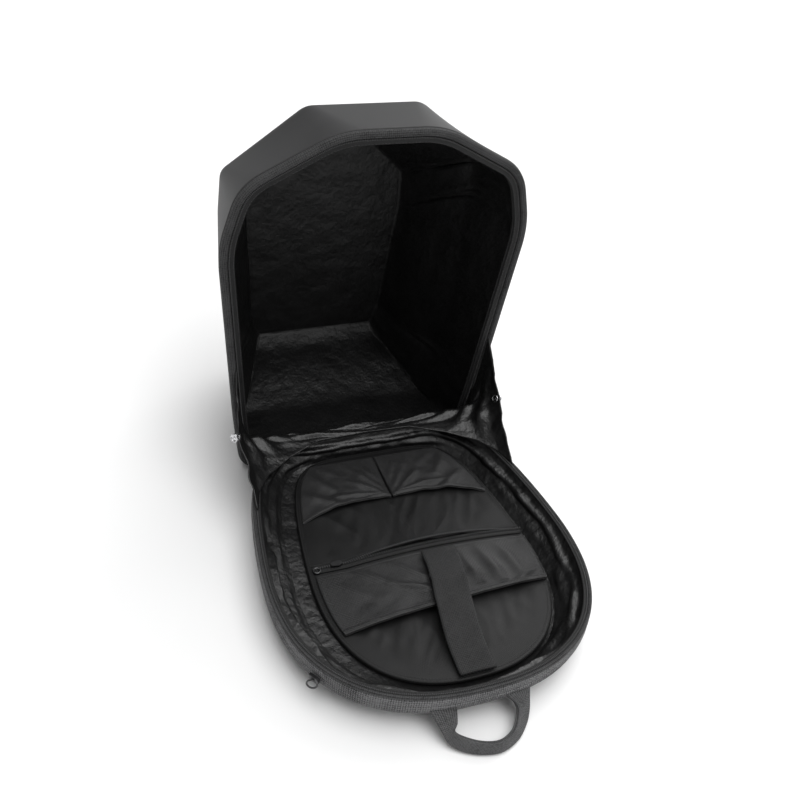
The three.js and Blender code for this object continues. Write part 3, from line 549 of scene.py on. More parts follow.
tray = {
    "nearReach": 165 * mm, "nearPower": 2.4, "farPower": 6, "farTaper": 0.2, "points": 360,
    # the wall's outside and inside: inset in mm, share of the height
    "outside": [(40, 0), (16, 0), (13, 0.01), (10, 0.05), (6.5, 0.13), (3.4, 0.24), (1.5, 0.36), (0.9, 0.46),
                (1.4, 0.5), (1.0, 0.53), (0.1, 0.56), (0.1, 0.6), (1.0, 0.63), (1.2, 0.66), (0.6, 0.74),
                (0.5, 0.82), (1.0, 0.92), (2.0, 0.985), (3.0, 1.0)],
    "inside": [(5, 1.0), (6.2, 0.985), (6.6, 0.9), (6.4, 0.7), (6.2, 0.5), (9, 0.3), (14, 0.16)],
    "bulge": 0.5 * mm, "bulgeFrom": 3, "bulgeRows": 16,
    "gap": 0.4 * mm, "tapeInset": 1 * mm, "tapeWidth": 8.5 * mm, "tapeThickness": 2.6 * mm,
    "bindingWidth": 3.6 * mm,
    # share of the height, then the inset at the side, the near end and the far end, in mm
    "lining": [(0, 35, 24, 17), (0.3, 24, 17, 13), (0.62, 13, 11, 10), (1, 7, 7, 7)],
    "liningSteps": 34, "liningFolds": (7, 5, 2.8),
    "panelInset": (45 * mm, 29 * mm, 20 * mm), "panelOffset": 6 * mm, "panelBevel": 1.5 * mm,
    "panelSoft": 2.6 * mm, "panelRings": 30,
}
trayWidest = trayNear + tray["nearReach"]
panelBottom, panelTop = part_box("organizer_panel")[0].z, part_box("organizer_panel")[1].z


def trayPoint(angle, side, near, far):
    across, up = math.cos(angle), math.sin(angle)
    isNear = up < 0
    power = tray["nearPower"] if isNear else tray["farPower"]
    reach = tray["nearReach"] - near if isNear else trayFar - trayWidest - far
    along = abs(up) ** (2 / power)
    taper = 1 if isNear else 1 - tray["farTaper"] * along ** 1.5
    half = (trayHalf - side) * abs(across) ** (2 / power) * taper
    return Vector((math.copysign(half, across), trayWidest + math.copysign(reach * along, up)))


def evenAngles(count):  # angles that step evenly along the tray's outline
    fine, samples = [], 3000
    for quarter in range(4):
        for k in range(samples):
            s = (k + 0.5) / samples
            share = s ** 3 / (s ** 3 + (1 - s) ** 3)  # many samples where the outline turns fast
            fine.append((quarter + share) * math.pi / 2)
    points = [trayPoint(a, 0, 0, 0) for a in fine]
    total = lengthsAlong(points, True)
    angles, at = [], 0
    for k in range(count):
        goal = total[-1] * k / count
        while total[at + 1] < goal:
            at += 1
        angles.append(fine[at])
    return angles


trayAngles = evenAngles(tray["points"])


def trayLoop(inset, height, shift=0.0):
    side, near, far = inset if isinstance(inset, tuple) else (inset, inset, inset)
    loop = []
    for angle in trayAngles:
        p = trayPoint(angle, side, near, far)
        loop.append(Vector((p.x + shift, p.y, height)))
    return loop


def trayHalfAt(y, side, near, far):
    isNear = y < trayWidest
    reach = tray["nearReach"] - near if isNear else trayFar - trayWidest - far
    power = tray["nearPower"] if isNear else tray["farPower"]
    along = min(abs(y - trayWidest) / reach, 1)
    taper = 1 if isNear else 1 - tray["farTaper"] * along ** 1.5
    return (trayHalf - side) * taper * (1 - along ** power) ** (1 / power)


def makeTrayWall():
    high = trayRim - trayFoot
    profile = tray["outside"] + tray["inside"]
    rows = [trayLoop(inset * mm, trayFoot + share * high) for inset, share in profile]
    first, count = tray["bulgeFrom"], tray["bulgeRows"]
    for r, row in enumerate(rows[first:first + count]):
        bulge = math.sin(math.pi * r / (count - 1)) * tray["bulge"]
        for i, point in enumerate(row):
            soft = ripple(point.x * 22, point.y * 22, point.z * 30)
            centre = Vector((0, trayWidest, point.z))
            point += (point - centre).normalized() * bulge * (soft - 0.6)
    body = gridPiece("padded_tray", rows, heavyCloth, ring=True, caps="first last")
    settle(facesOut(body), "woven_cloth", "tray_wall")

    bottom = trayRim + tray["gap"]
    top = bottom + tray["tapeThickness"]
    first = tray["tapeInset"]
    last = first + tray["tapeWidth"]
    rows = []
    for a in [math.pi * k / 10 for k in range(11)]:
        inset = lerp(first, first + tray["bindingWidth"], 0.5 - 0.5 * math.cos(a))
        rows.append(trayLoop(inset, lerp(bottom, top, math.sin(a) ** 0.5)))
    band = gridPiece("tray_rim_binding", rows, binding, ring=True, hoop=True)
    settle(facesOut(band), "woven_cloth", "tray_rim_tape")

    start = first + tray["bindingWidth"] + 0.1 * mm
    profile = [(start, bottom), (start, top - 1.2 * mm), (start + 0.5 * mm, top - 0.9 * mm),
               (last - 0.8 * mm, top - 1.3 * mm), (last, top - 1.7 * mm), (last, bottom)]
    tapeRows = [trayLoop(inset, z) for inset, z in profile]
    tape = gridPiece("tray_zip_band", tapeRows, zipTape, ring=True, hoop=True)
    settle(facesOut(tape), "woven_cloth")
    upward = [Vector((0, 0, 1))] * tray["points"]
    coil = beadRow("tray_zip_coil", trayLoop(start + 1.1 * mm, top - 0.8 * mm), upward, zipCoil,
                   "tray coil", ring=True, turned=math.pi / 2)
    settle(coil, "smooth_tape")
    line = trayLoop(last - 1.2 * mm, top - 1.2 * mm)
    settle(beadRow("tray_band_stitches", line, upward, thread, "tray tape", ring=True), "woven_cloth")
    print("tray wall and rim ready")


def makeTrayLining():
    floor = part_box("tray_lining")[0].z
    top = trayRim - tray["gap"]
    rows = []
    steps, table = tray["liningSteps"], tray["lining"]
    upper, lower, small = tray["liningFolds"]
    for k in range(steps + 1):
        share = k / steps
        for a, b in zip(table, table[1:]):
            if share <= b[0]:
                t = (share - a[0]) / (b[0] - a[0])
                inset = tuple(lerp(x, y, t) * mm for x, y in zip(a[1:], b[1:]))
                break
        base = trayLoop(inset, lerp(floor, top, share))
        hang = math.sin(math.pi * share) ** 0.8
        row = []
        for i, p in enumerate(base):
            centre = Vector((0, trayWidest, p.z))
            inward = (centre - p).normalized()
            along = 2 * math.pi * i / len(base)
            wander = 0.12 * ripple(3 * math.cos(along), 3 * math.sin(along), 4)
            ridge = math.exp(-(((share - 0.62 - wander) / 0.1) ** 2))
            second = math.exp(-(((share - 0.32 + wander) / 0.12) ** 2))
            strength = clamp01(0.65 + 1.2 * ripple(4 * math.cos(along), 4 * math.sin(along), 9))
            wrinkle = abs(ripple(16 * math.cos(along), 16 * math.sin(along), 2.5 * share))
            folds = upper * ridge * strength + lower * second * (1.2 - strength) + small * wrinkle
            out = folds * hang * mm
            row.append(p + inward * out + Vector((0, 0, 0.35 * out * ridge)))
        rows.append(row)
    rows = softened(rows, 4, True)
    floorRows = [[Vector((0, trayWidest, p.z)).lerp(p, share) for p in rows[0]] for share in (0.8, 0.9)]
    lining = gridPiece("tray_inside_lining", floorRows + rows, satin, ring=True, cloth=1 * mm, side=1)
    settle(lining, "satin_lining", "tray_lining")
    clothSheet(lining, floorRows + rows, ring=True)
    print("tray lining ready")


def makePanel():
    bevel = tray["panelBevel"]
    side, near, far = tray["panelInset"]

    def panelLoop(inset, z):
        return trayLoop((side + inset * mm, near + inset * mm, far + inset * mm), z, tray["panelOffset"])

    rows = [panelLoop(inset, z) for inset, z in (
        (12, panelBottom), (bevel / mm, panelBottom), (0.4, panelBottom + 0.5 * bevel),
        (0, panelBottom + bevel), (0, panelTop - bevel), (0.4, panelTop - 0.5 * bevel),
        (1.4, panelTop - 0.1 * mm), (2.6, panelTop - 0.5 * mm), (4, panelTop - 0.1 * mm), (14, panelTop))]
    last, count = rows[-1], tray["panelRings"]
    for k in range(1, count):  # the soft top sinks a little between its folds
        depth = tray["panelSoft"] * smooth(k / 4)
        ring = towardsMiddle(last, (1 - k / count,))[0]
        for p in ring:
            broad = abs(ripple(26 * p.x + 9 * p.y, 11 * p.y, 1))
            small = abs(ripple(60 * p.x - 30 * p.y, 25 * p.y, 4))
            p.z -= depth * min(1.6 * (broad + 0.5 * small), 1)
        rows.append(ring)
    # the panel wears the darkened nylon, whose extra darkness is painted shade
    panel = gridPiece("padded_panel", rows, shadedPanelCloth, ring=True, caps="first last")
    settle(facesOut(panel), "pocket_nylon", "organizer_panel")
    upward = [Vector((0, 0, 1))] * tray["points"]
    for name, inset in (("outer", 1.4), ("inner", 4.2)):
        line = panelLoop(inset, panelTop + 0.05 * mm)
        sewn = beadRow("panel_stitches_" + name, line, upward, darkThread, "panel", ring=True)
        settle(sewn, "pocket_nylon")
    print("panel ready")


makeTrayWall()
makeTrayLining()
makePanel()


# Pockets on the panel

pocket = {
    # places along the tray in shares of its length
    "phoneFar": 0.08, "phoneMouth": 0.262, "phoneBow": 0.045, "zipFar": 0.495, "zipNear": 0.665,
    "sleeveFar": 0.51, "sleeveMouth": 0.69, "sleeveBow": 0.006, "sleeveSlant": 0.04, "strapNear": 0.912,
    "edge": 6 * mm, "seam": 1 * mm, "rise": 9 * mm, "zipRise": 7 * mm, "lipRise": 7.5 * mm,
    "sleeveRise": 7 * mm, "cloth": 1.2 * mm, "clothGap": 0.5 * mm, "gap": 0.4 * mm, "sliderAcross": 0.16,
    "tape": 6 * mm, "tapeCloth": 0.9 * mm, "strapWidth": 38 * mm, "strapLean": 15 * mm, "strapCloth": 2 * mm,
    # folds: where each starts and ends across and along its cloth, its rise and its breadth
    "phoneFolds": [  # a fan of small folds from the seam, then the slack towards the outer side
        (0.02, 0.98, 0.42, 0.5, 0.26, 0.04), (0.02, 0.86, 0.3, 0.3, 0.2, 0.035),
        (0.03, 0.95, 0.62, 0.78, 0.2, 0.04),
        (0.04, 0.6, 0.2, 0.2, 0.12, 0.03), (0.97, 0.5, 0.6, 0.95, 0.24, 0.05),
        (0.92, 0.15, 0.62, 0.62, 0.24, 0.05),
        (0.85, 0.05, 0.5, 0.35, 0.14, 0.05), (0.5, 0.05, 0.35, 0.3, 0.1, 0.05),
    ],
    "sleeveFolds": [  # creases that sweep to the strap's top, and the upright slack at the right
        (0.19, 0.06, 0.3, 0.42, 0.36, 0.03), (0.3, 0.42, 0.46, 0.68, 0.34, 0.03),
        (0.34, 0.04, 0.47, 0.5, 0.3, 0.028),
        (0.1, 0.2, 0.2, 0.6, 0.16, 0.03), (0.65, 0.02, 0.69, 0.8, 0.42, 0.024),
        (0.74, 0.0, 0.79, 0.86, 0.46, 0.028),
        (0.84, 0.04, 0.89, 0.8, 0.42, 0.028), (0.6, 0.1, 0.62, 0.5, 0.2, 0.02),
        (0.97, 0.7, 0.86, 0.95, 0.3, 0.03),
    ],
}
clothBase = panelTop + pocket["gap"]


def alongTray(share):
    return trayFar - share * trayLength


def pouchHalf(y):
    return trayHalfAt(y, *tray["panelInset"]) - pocket["edge"]


def hemAndStitches(name, edge, inner, ups, finish, slotName):
    # a folded hem stands a little proud of the mouth, with a row of stitches behind it
    rows = []
    for k in range(7):
        a = math.pi * k / 6
        rows.append([p.lerp(q, 0.5 - 0.5 * math.cos(a)) + up * (0.15 + 0.5 * math.sin(a) ** 0.6) * mm
                     for p, q, up in zip(edge, inner, ups)])
    hem = gridPiece(name + "_hem", rows, finish, hoop=True)
    settle(facesOut(hem), slotName)
    line = [p.lerp(q, 0.78) + up * 0.66 * mm for p, q, up in zip(edge, inner, ups)]
    settle(beadRow(name + "_stitches", line, ups, darkThread, "pocket"), slotName)


def makePhonePocket(word, side):
    def placeAt(u, v):
        mouth = pocket["phoneMouth"] + pocket["phoneBow"] * u ** 3
        y = alongTray(lerp(pocket["phoneFar"], mouth, v))
        x = tray["panelOffset"] + side * lerp(pocket["seam"], pouchHalf(y), u)
        crown = (1 - abs(2 * u - 1) ** 3) * v ** 0.8
        fold = 2.0 * ridges(pocket["phoneFolds"], u, v) * (0.35 + 0.65 * crown) - 0.5 * crown
        small = 0.22 * ripple(7 * u + 3 * side + 2 * v, 5 * v - 3 * u, 2) * crown
        return Vector((x, y, clothBase + pocket["rise"] * max(0.0, crown + fold + small)))

    steps = 48
    rows = [[placeAt(i / steps, k / steps) for i in range(steps + 1)] for k in range(steps + 1)]
    if side < 0:
        rows = [list(reversed(row)) for row in rows]
    cloth = gridPiece("phone_pouch_" + word, rows, pocketCloth, cloth=pocket["cloth"], side=-1)
    settle(cloth, "pocket_nylon", "phone_pocket_" + word)
    clothSheet(cloth, rows)
    ups = [Vector((0, 0, 1))] * (steps + 1)
    lift = Vector((0, 0, pocket["cloth"]))
    hemAndStitches("phone_pouch_" + word, [p + lift for p in rows[-1]], [p + lift for p in rows[-4]], ups,
                   pocketCloth, "pocket_nylon")


def zipOpening(u):
    share = (u - pocket["sliderAcross"]) / (0.97 - pocket["sliderAcross"])
    return 0.0 if share <= 0 or share >= 1 else math.sin(math.pi * share) ** 0.8


def zipTop(u, y):
    far, near = alongTray(pocket["zipFar"]), alongTray(pocket["zipNear"])
    share = clamp01((y - near) / (far - near))
    return clothBase + pocket["cloth"] + pocket["zipRise"] * zipOpening(u) * share ** 0.8


def sleeveTop(u, y, mouth):
    far = alongTray(pocket["sleeveFar"])
    share = clamp01((y - far) / (mouth - far))
    crown = (1 - abs(2 * u - 1) ** 4) * share
    fold = 2.4 * ridges(pocket["sleeveFolds"], u, share) * (0.25 + 0.75 * share) * (1 - abs(2 * u - 1) ** 6)
    fold += (0.2 * ripple(9 * u + 3 * share, 4 * share, 6) - 0.35) * crown
    return zipTop(u, y) + pocket["clothGap"] + pocket["cloth"] + pocket["sleeveRise"] * (crown + fold)


def pouchX(u, y):  # at its right the cloth is sewn down right at the panel's edge
    right = 1.15 * (pocket["edge"] - 1.5 * mm) * smooth(2 * u - 1)
    return tray["panelOffset"] + (2 * u - 1) * pouchHalf(y) + right


def makeZipPocket():
    far, near = alongTray(pocket["zipFar"]), alongTray(pocket["zipNear"])
    steps = 72
    spans = [i / steps for i in range(steps + 1)]
    rows = []
    for k in range(17):
        y = lerp(far, near, k / 16)
        rows.append([Vector((pouchX(u, y), y, zipTop(u, y) - pocket["cloth"])) for u in spans])
    cloth = gridPiece("zip_pocket_cloth", rows, pocketCloth, cloth=pocket["cloth"], side=-1)
    settle(cloth, "pocket_nylon", "zip_pocket")
    clothSheet(cloth, rows)

    tape, gap = pocket["tape"], pocket["gap"]
    nearTape, farTape = [], []
    for k in range(5):
        t = k / 4
        crown = 0.25 * mm * math.sin(math.pi * t)
        y = far + gap + tape * t
        nearTape.append([Vector((pouchX(u, far), y, zipTop(u, far) + crown)) for u in spans])
        lift = pocket["lipRise"] * (1 - t) ** 1.3
        farTape.append([Vector((pouchX(u, far), far + 2 * gap + tape * (1 + t) + 1.2 * tape * zipOpening(u),
                                clothBase + crown + lift * zipOpening(u))) for u in spans])
    for name, lines in (("near", nearTape), ("far", farTape)):
        piece = gridPiece("pocket_zip_%s_cloth" % name, lines, zipTape, cloth=pocket["tapeCloth"])
        settle(piece, "woven_cloth", "pocket_zip_%s_tape" % name)
    up = [Vector((0, 0, 1))] * (steps + 1)
    for name, line in (("near", nearTape[-1]), ("far", farTape[0])):
        raised = [p + Vector((0, 0, 0.9 * mm)) for p in line]
        teeth = beadRow("pocket_zip_teeth_" + name, raised, up, zipCoil, "teeth", turned=math.pi / 2)
        settle(teeth, "smooth_tape")
    for name, line in (("near", nearTape[1]), ("far", farTape[3])):
        raised = [p + Vector((0, 0, 0.95 * mm)) for p in line]
        settle(beadRow("pocket_zip_stitches_" + name, raised, up, darkThread, "pocket"), "woven_cloth")
    print("zip pocket ready")


def makeSleeve():
    far = alongTray(pocket["sleeveFar"])
    steps = 96

    def mouthAt(u):
        bow = pocket["sleeveBow"] * (2 * u - 1) ** 2
        return alongTray(pocket["sleeveMouth"] + bow - pocket["sleeveSlant"] * (u - 0.45))

    rows = []
    for k in range(49):
        row = []
        for i in range(steps + 1):
            u = i / steps
            y = lerp(far, mouthAt(u), k / 48)
            row.append(Vector((pouchX(u, y), y, sleeveTop(u, y, mouthAt(u)) - pocket["cloth"])))
        rows.append(row)
    cloth = gridPiece("laptop_sleeve_cloth", rows, sleeveCloth, cloth=pocket["cloth"], side=-1)
    settle(cloth, "pocket_nylon", "laptop_sleeve")
    clothSheet(cloth, rows)
    ups = [Vector((0, 0, 1))] * (steps + 1)
    lift = Vector((0, 0, pocket["cloth"]))
    hemAndStitches("laptop_sleeve", [p + lift for p in rows[-1]], [p + lift for p in rows[-5]], ups,
                   sleeveCloth, "pocket_nylon")

    mouth, last = mouthAt(0.5), alongTray(pocket["strapNear"])
    thick = pocket["strapCloth"]
    low = panelTop + pocket["gap"] + thick
    width, lean = pocket["strapWidth"], pocket["strapLean"]

    def strapTop(y):
        if y >= mouth:
            rest = max(sleeveTop(u, y, mouth) for u in (0.42, 0.46, 0.5, 0.54, 0.58))
            return rest + thick + pocket["clothGap"]
        crest = strapTop(mouth)
        share = (mouth - y) / (mouth - last)
        return lerp(crest, low, smooth(share ** 1.15))

    strapRows = []
    for k in range(61):
        y = lerp(far - 2 * mm, last, k / 60)
        x = tray["panelOffset"] + lean * (1 - smooth(k / 50))
        z = strapTop(y)
        strapRows.append([Vector((x + (i / 12 - 0.5) * width, y, z + 0.5 * mm * math.sin(math.pi * i / 12)))
                          for i in range(13)])
    strap = gridPiece("sleeve_webbing", softened(strapRows, 3), webbingCloth, cloth=thick, side=1)
    settle(strap, "webbing", "sleeve_strap")
    for name, column in (("left", 1), ("right", 11)):
        line = [row[column] + Vector((0, 0, 0.05 * mm)) for row in strapRows[1:-1]]
        ups = [Vector((0, 0, 1))] * len(line)
        settle(beadRow("sleeve_webbing_stitches_" + name, line, ups, thread, "strap"), "webbing")
    print("sleeve and its strap ready")


makePhonePocket("left", -1)
makePhonePocket("right", 1)
makeZipPocket()
makeSleeve()


# Gusset between the shell and the tray

gusset = {
    "names": ("share", "shellX", "shellZ", "crestX", "crestY", "crestZ", "trayX", "trayY"),
    "rows": [
        (0, 0, 0.014, 0, 0, 0, 0, 0.03), (0.3, 0.35, 0.014, 0.36, 0.001, 0, 0.33, 0.036),
        (0.52, 0.62, 0.015, 0.62, 0.008, 0.008, 0.56, 0.088),
        (0.72, 0.785, 0.05, 0.8, 0.03, 0.035, 0.745, 0.148),
        (0.86, 0.856, 0.2, 0.88, 0.06, 0.066, 0.85, 0.213),
        (1, 0.886, 0.358, 0.925, 0.094, 0.107, 0.893, 0.276),
    ],
    "folds": [
        (0.03, 0.1, 0.14, 0.85, 7, 0.018), (0.07, 0.05, 0.2, 0.8, 8, 0.02),
        (0.12, 0.1, 0.27, 0.7, 6, 0.018),
        (0.18, 0.2, 0.36, 0.75, 5, 0.02), (0.3, 0.1, 0.34, 0.5, 3, 0.02), (0.42, 0.3, 0.5, 0.7, 3, 0.03),
        (0.97, 0.15, 0.88, 0.85, 7, 0.018), (0.93, 0.05, 0.8, 0.8, 7, 0.02),
        (0.87, 0.1, 0.73, 0.7, 6, 0.02),
        (0.8, 0.3, 0.62, 0.7, 5, 0.02), (0.68, 0.1, 0.63, 0.5, 3, 0.02),
    ],
    "cloth": 1.2 * mm, "clothGap": 0.5 * mm, "crestOut": 1.7 * mm, "tuck": 5 * mm,
    "across": 220, "along": 40, "slack": 9 * mm, "wander": 2.5 * mm, "studHold": 6 * mm, "studFade": 26 * mm,
}
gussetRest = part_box("tray_rim_tape")[1].z + gusset["cloth"] + gusset["clothGap"]


def gussetPlace(u, v):
    side = -1 if u < 0.5 else 1
    share = abs(2 * u - 1)
    rows = gusset["rows"]
    for a, b in zip(rows, rows[1:]):
        if share <= b[0]:
            t = (share - a[0]) / (b[0] - a[0])
            at = dict(zip(gusset["names"], [lerp(x, y, t) for x, y in zip(a, b)]))
            break
    front = rimY - shell["gap"] - shell["bindingDepth"] - gusset["clothGap"]
    shellPlace = Vector((side * at["shellX"] * shellHalf, front, at["shellZ"] * shellTall))
    crestY = trayFar + gusset["crestOut"] - at["crestY"] * trayLength
    crest = Vector((side * at["crestX"] * shellHalf, crestY, gussetRest + at["crestZ"] * shellTall))
    trayPlace = Vector((side * at["trayX"] * trayHalf, trayFar - at["trayY"] * trayLength, gussetRest))
    return shellPlace.lerp(crest, 2 * v) if v < 0.5 else crest.lerp(trayPlace, 2 * v - 1)


def makeGusset():
    across, along = gusset["across"], gusset["along"]
    rows = []
    studs = [sum(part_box("snap_%s_outer" % word), Vector()) / 2 for word in ("left", "right")]
    for k in range(along + 1):
        v = k / along
        row = []
        for i in range(across + 1):
            u = i / across
            place = gussetPlace(u, v)
            share = abs(2 * u - 1)
            hang = math.sin(math.pi * v)
            lift = ridges(gusset["folds"], u, v) * mm
            slant = 9 * u + 5 * v if u > 0.5 else 9 * u - 5 * v
            lift += gusset["slack"] * abs(ripple(slant, 1.3 * v, 3))
            lift += gusset["wander"] * ripple(2.2 * slant, 2 * v, 8)
            nearStud = min((place - stud).length for stud in studs)
            lift *= smooth((nearStud - gusset["studHold"]) / gusset["studFade"])  # studs hold it flat
            sideways = -lift * hang * share if u > 0.5 else lift * hang * share
            place += Vector((sideways, 0, lift * hang * (1 - 0.55 * share)))
            row.append(place)
        rows.append(row)
    rows = softened(rows, 4)
    tuck = Vector((0, gusset["tuck"], 0))
    rows.insert(0, [p + tuck for p in rows[0]])  # sewn in under the shell's binding
    cloth = gridPiece("hinge_gusset", rows, satin, cloth=gusset["cloth"], side=1)
    settle(cloth, "satin_lining", "gusset")
    clothSheet(cloth, rows)
    print("gusset ready")


def turned(name, profile, finish, place, axis, sides=40):  # a round body about its axis
    axis = axis.normalized()
    first = axis.orthogonal().normalized()
    second = axis.cross(first)
    outs = [first * math.cos(a) + second * math.sin(a) for a in circle(sides)]
    rows = [[place + out * radius + axis * height for out in outs] for radius, height in profile]
    return facesOut(gridPiece(name, rows, finish, ring=True, caps="first last"))


snaps = {  # a turned profile in shares of the radius and of the height
    "radius": 5 * mm, "height": 2.4 * mm,
    "profile": [(0.9, 0), (1, 0.05), (1, 0.45), (0.94, 0.8), (0.84, 1), (0.72, 0.96), (0.62, 0.62),
                (0.5, 0.5), (0.3, 0.5), (0.26, 0.7), (0.16, 0.74)],
    "leftOuterAxis": Vector((-0.72, -0.6, 0.35)),  # the cloth turns this one towards the front
}


def makeSnaps():
    radius, height = snaps["radius"], snaps["height"]
    profile = [(a * radius, b * height) for a, b in snaps["profile"]]
    for word in ("left", "right"):
        for face in ("outer", "inner"):
            node = "snap_%s_%s" % (word, face)
            low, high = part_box(node)
            centre = (low + high) / 2
            otherFace = "inner" if face == "outer" else "outer"
            other = sum(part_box("snap_%s_%s" % (word, otherFace)), Vector()) / 2
            axis = (centre - other).normalized()
            if (word, face) == ("left", "outer"):
                axis = snaps["leftOuterAxis"]
            piece = turned(node + "_stud", profile, brightMetal, centre - axis * height / 2, axis)
            settle(piece, "bright_metal", node)
    print("snaps ready")


makeGusset()
makeSnaps()


# Handle, slider and the straps on the wearer's side

handle = {  # places along the loop: its outer edge, then its inner edge, in mm from the shell's rim
    "outer": [(-57, -370, 27), (-55, -374, 25.5), (-49, -389, 16), (-42, -400, 5), (-28, -410, 2),
              (-12, -416, 1.6), (4, -417.5, 1.6), (22, -411, 2), (36, -399, 3), (43, -389, 9),
              (46, -381, 18), (48, -374, 25.5), (49, -372, 27)],
    "inner": [(-29, -375, 27), (-29.5, -379, 25.5), (-32, -389, 19), (-36, -396, 15.5),
              (-24, -406.5, 14.5), (-10, -413, 14), (3, -414.5, 14), (16, -409, 14), (25, -399, 15),
              (29, -390, 18), (27, -384, 21.5), (21.5, -380, 25.5), (21, -377, 27)],
    "rootThick": 2.2 * mm, "gripThick": 5.2 * mm, "gripFrom": 0.3, "slit": 0.1, "stitchAcross": 0.36,
    "steps": 96,
}


def throughPoints(points, share):  # a smooth curve through the points
    reach = clamp01(share) * (len(points) - 1)
    at = min(int(reach), len(points) - 2)
    t = reach - at
    a, b, c, d = (points[min(max(at + k, 0), len(points) - 1)] for k in (-1, 0, 1, 2))
    square, cube = 2 * a - 5 * b + 4 * c - d, 3 * b - a - 3 * c + d
    return 0.5 * (2 * b + (c - a) * t + square * t * t + cube * t ** 3)


def makeHandle():
    outer, inner = ([Vector((x * mm, rimY + y * mm, z * mm)) for x, y, z in handle[edge]]
                    for edge in ("outer", "inner"))
    rows, ups, near, far = [], [], [], []
    steps = handle["steps"]
    for i in range(steps + 1):
        share = i / steps
        a, b = throughPoints(outer, share), throughPoints(inner, share)
        ahead = throughPoints(outer, share + 0.01) + throughPoints(inner, share + 0.01)
        behind = throughPoints(outer, share - 0.01) + throughPoints(inner, share - 0.01)
        slope = (ahead - behind).normalized()
        place, across = (a + b) / 2, (a - b).normalized()
        width = (a - b).length
        up = slope.cross(across).normalized()
        grip = smooth(min(share, 1 - share) / handle["gripFrom"])
        thick = lerp(handle["rootThick"], handle["gripThick"], grip)
        slit = handle["slit"] * grip
        profile = [(0.5, 0.3), (0.47, 0.45), (0.4, 0.5), (0.15, 0.5), (-0.15, 0.5), (-0.4, 0.5),
                   (-0.47, 0.45), (-0.5, 0.3), (-0.5, 0.06), (-0.5 + slit, 0.0), (-0.5, -0.06), (-0.5, -0.3),
                   (-0.47, -0.45), (-0.4, -0.5), (-0.15, -0.5), (0.15, -0.5), (0.4, -0.5), (0.47, -0.45),
                   (0.5, -0.3)]
        rows.append([place + across * x * width + up * y * thick for x, y in profile])
        ups.append(up)
        aside, above = across * handle["stitchAcross"] * width, up * 0.51 * thick
        near.append(place + aside + above)
        far.append(place - aside + above)
    body = gridPiece("grab_handle", rows, handleWebbing, ring=True, caps="first last")
    settle(facesOut(body), "webbing", "handle")
    for name, line in (("near", near), ("far", far)):
        settle(beadRow("handle_stitches_" + name, line[3:-3], ups[3:-3], thread, "handle"), "webbing")
    print("handle ready")


hardware = {
    "wire": 0.9 * mm, "bevel": 0.6 * mm, "ringSteps": 40, "wireSteps": 12,
    "pullAxis": Vector((-0.55, -0.83, 0.1)),  # the pull hangs aside from the tray's rim
}


def wireRing(name, node):
    low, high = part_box(node)
    centre = (low + high) / 2
    size = high - low
    flatAxis = min(range(3), key=lambda k: size[k])
    axis = Vector([1.0 if k == flatAxis else 0.0 for k in range(3)])
    if node == "main_zip_pull":
        axis = hardware["pullAxis"].normalized()
    wire = hardware["wire"]
    radius = max(size) / 2 - wire
    first = axis.orthogonal().normalized()
    second = axis.cross(first)
    rows = []
    for a in circle(hardware["ringSteps"]):
        out = first * math.cos(a) + second * math.sin(a)
        rows.append([centre + out * (radius + wire * math.cos(b)) + axis * wire * math.sin(b)
                     for b in circle(hardware["wireSteps"])])
    piece = gridPiece(name, rows, darkMetal, ring=True, hoop=True)
    settle(facesOut(piece), "dark_metal", node)


def dress(piece, finish):
    piece.data.materials.clear()
    piece.data.materials.append(finish)


def zipSlider(name, node):
    piece = placed(name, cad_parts[node].data.copy())
    dress(piece, darkMetal)
    bevel = piece.modifiers.new("round", "BEVEL")
    bevel.width, bevel.segments, bevel.limit_method = hardware["bevel"], 3, "ANGLE"
    settle(piece, "dark_metal", node)


padding = {
    "voxel": 5 * mm, "pressure": 4.0, "quality": 5, "frames": 20, "shrink": 1.6 * mm, "cap": 3.2 * mm,
    "fill": 0.8,
}


def puffed(piece, low, high):  # the cover swells over its foam, held within its place
    mesh = piece.data
    start = [v.co.copy() for v in mesh.vertices]
    cloth = piece.modifiers.new("swell", "CLOTH")
    cloth.settings.use_pressure = True
    cloth.settings.uniform_pressure_force = padding["pressure"]
    cloth.settings.effector_weights.gravity = 0
    cloth.settings.quality = padding["quality"]
    scene = bpy.context.scene
    for step in range(1, padding["frames"] + 1):
        scene.frame_set(step)
    swollen = piece.evaluated_get(bpy.context.evaluated_depsgraph_get()).to_mesh()
    ends = [v.co.copy() for v in swollen.vertices]
    piece.evaluated_get(bpy.context.evaluated_depsgraph_get()).to_mesh_clear()
    piece.modifiers.clear()
    scene.frame_set(1)
    swell = 0.0
    for vertex, a, b in zip(mesh.vertices, start, ends):
        move = b - a
        swell = max(swell, move.length)
        if move.length > padding["cap"]:
            move = move.normalized() * padding["cap"]
        place = a + move
        vertex.co = Vector([min(max(c, x), y) for c, x, y in zip(place, low, high)])
    print(piece.name, "swells by up to", round(swell / mm, 2), "mm")


def fittedPad(name, node):
    low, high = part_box(node)
    piece = placed(name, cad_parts[node].data.copy())
    middle = (low + high) / 2
    for vertex in piece.data.vertices:  # starts a little smaller, since it swells
        for k in range(3):
            vertex.co[k] -= math.copysign(padding["shrink"], vertex.co[k] - middle[k])
    bpy.context.view_layer.objects.active = piece
    remesh = piece.modifiers.new("even", "REMESH")
    remesh.mode, remesh.voxel_size = "VOXEL", padding["voxel"]
    bpy.ops.object.modifier_apply(modifier="even")
    puffed(piece, low, high)
    piece.modifiers.new("fine", "SUBSURF").levels = 1
    piece.modifiers["fine"].render_levels = 1
    shadeSmooth(piece.data)
    dress(piece, padCloth)
    settle(piece, "strap_padding", node)
    print(name, "ready")


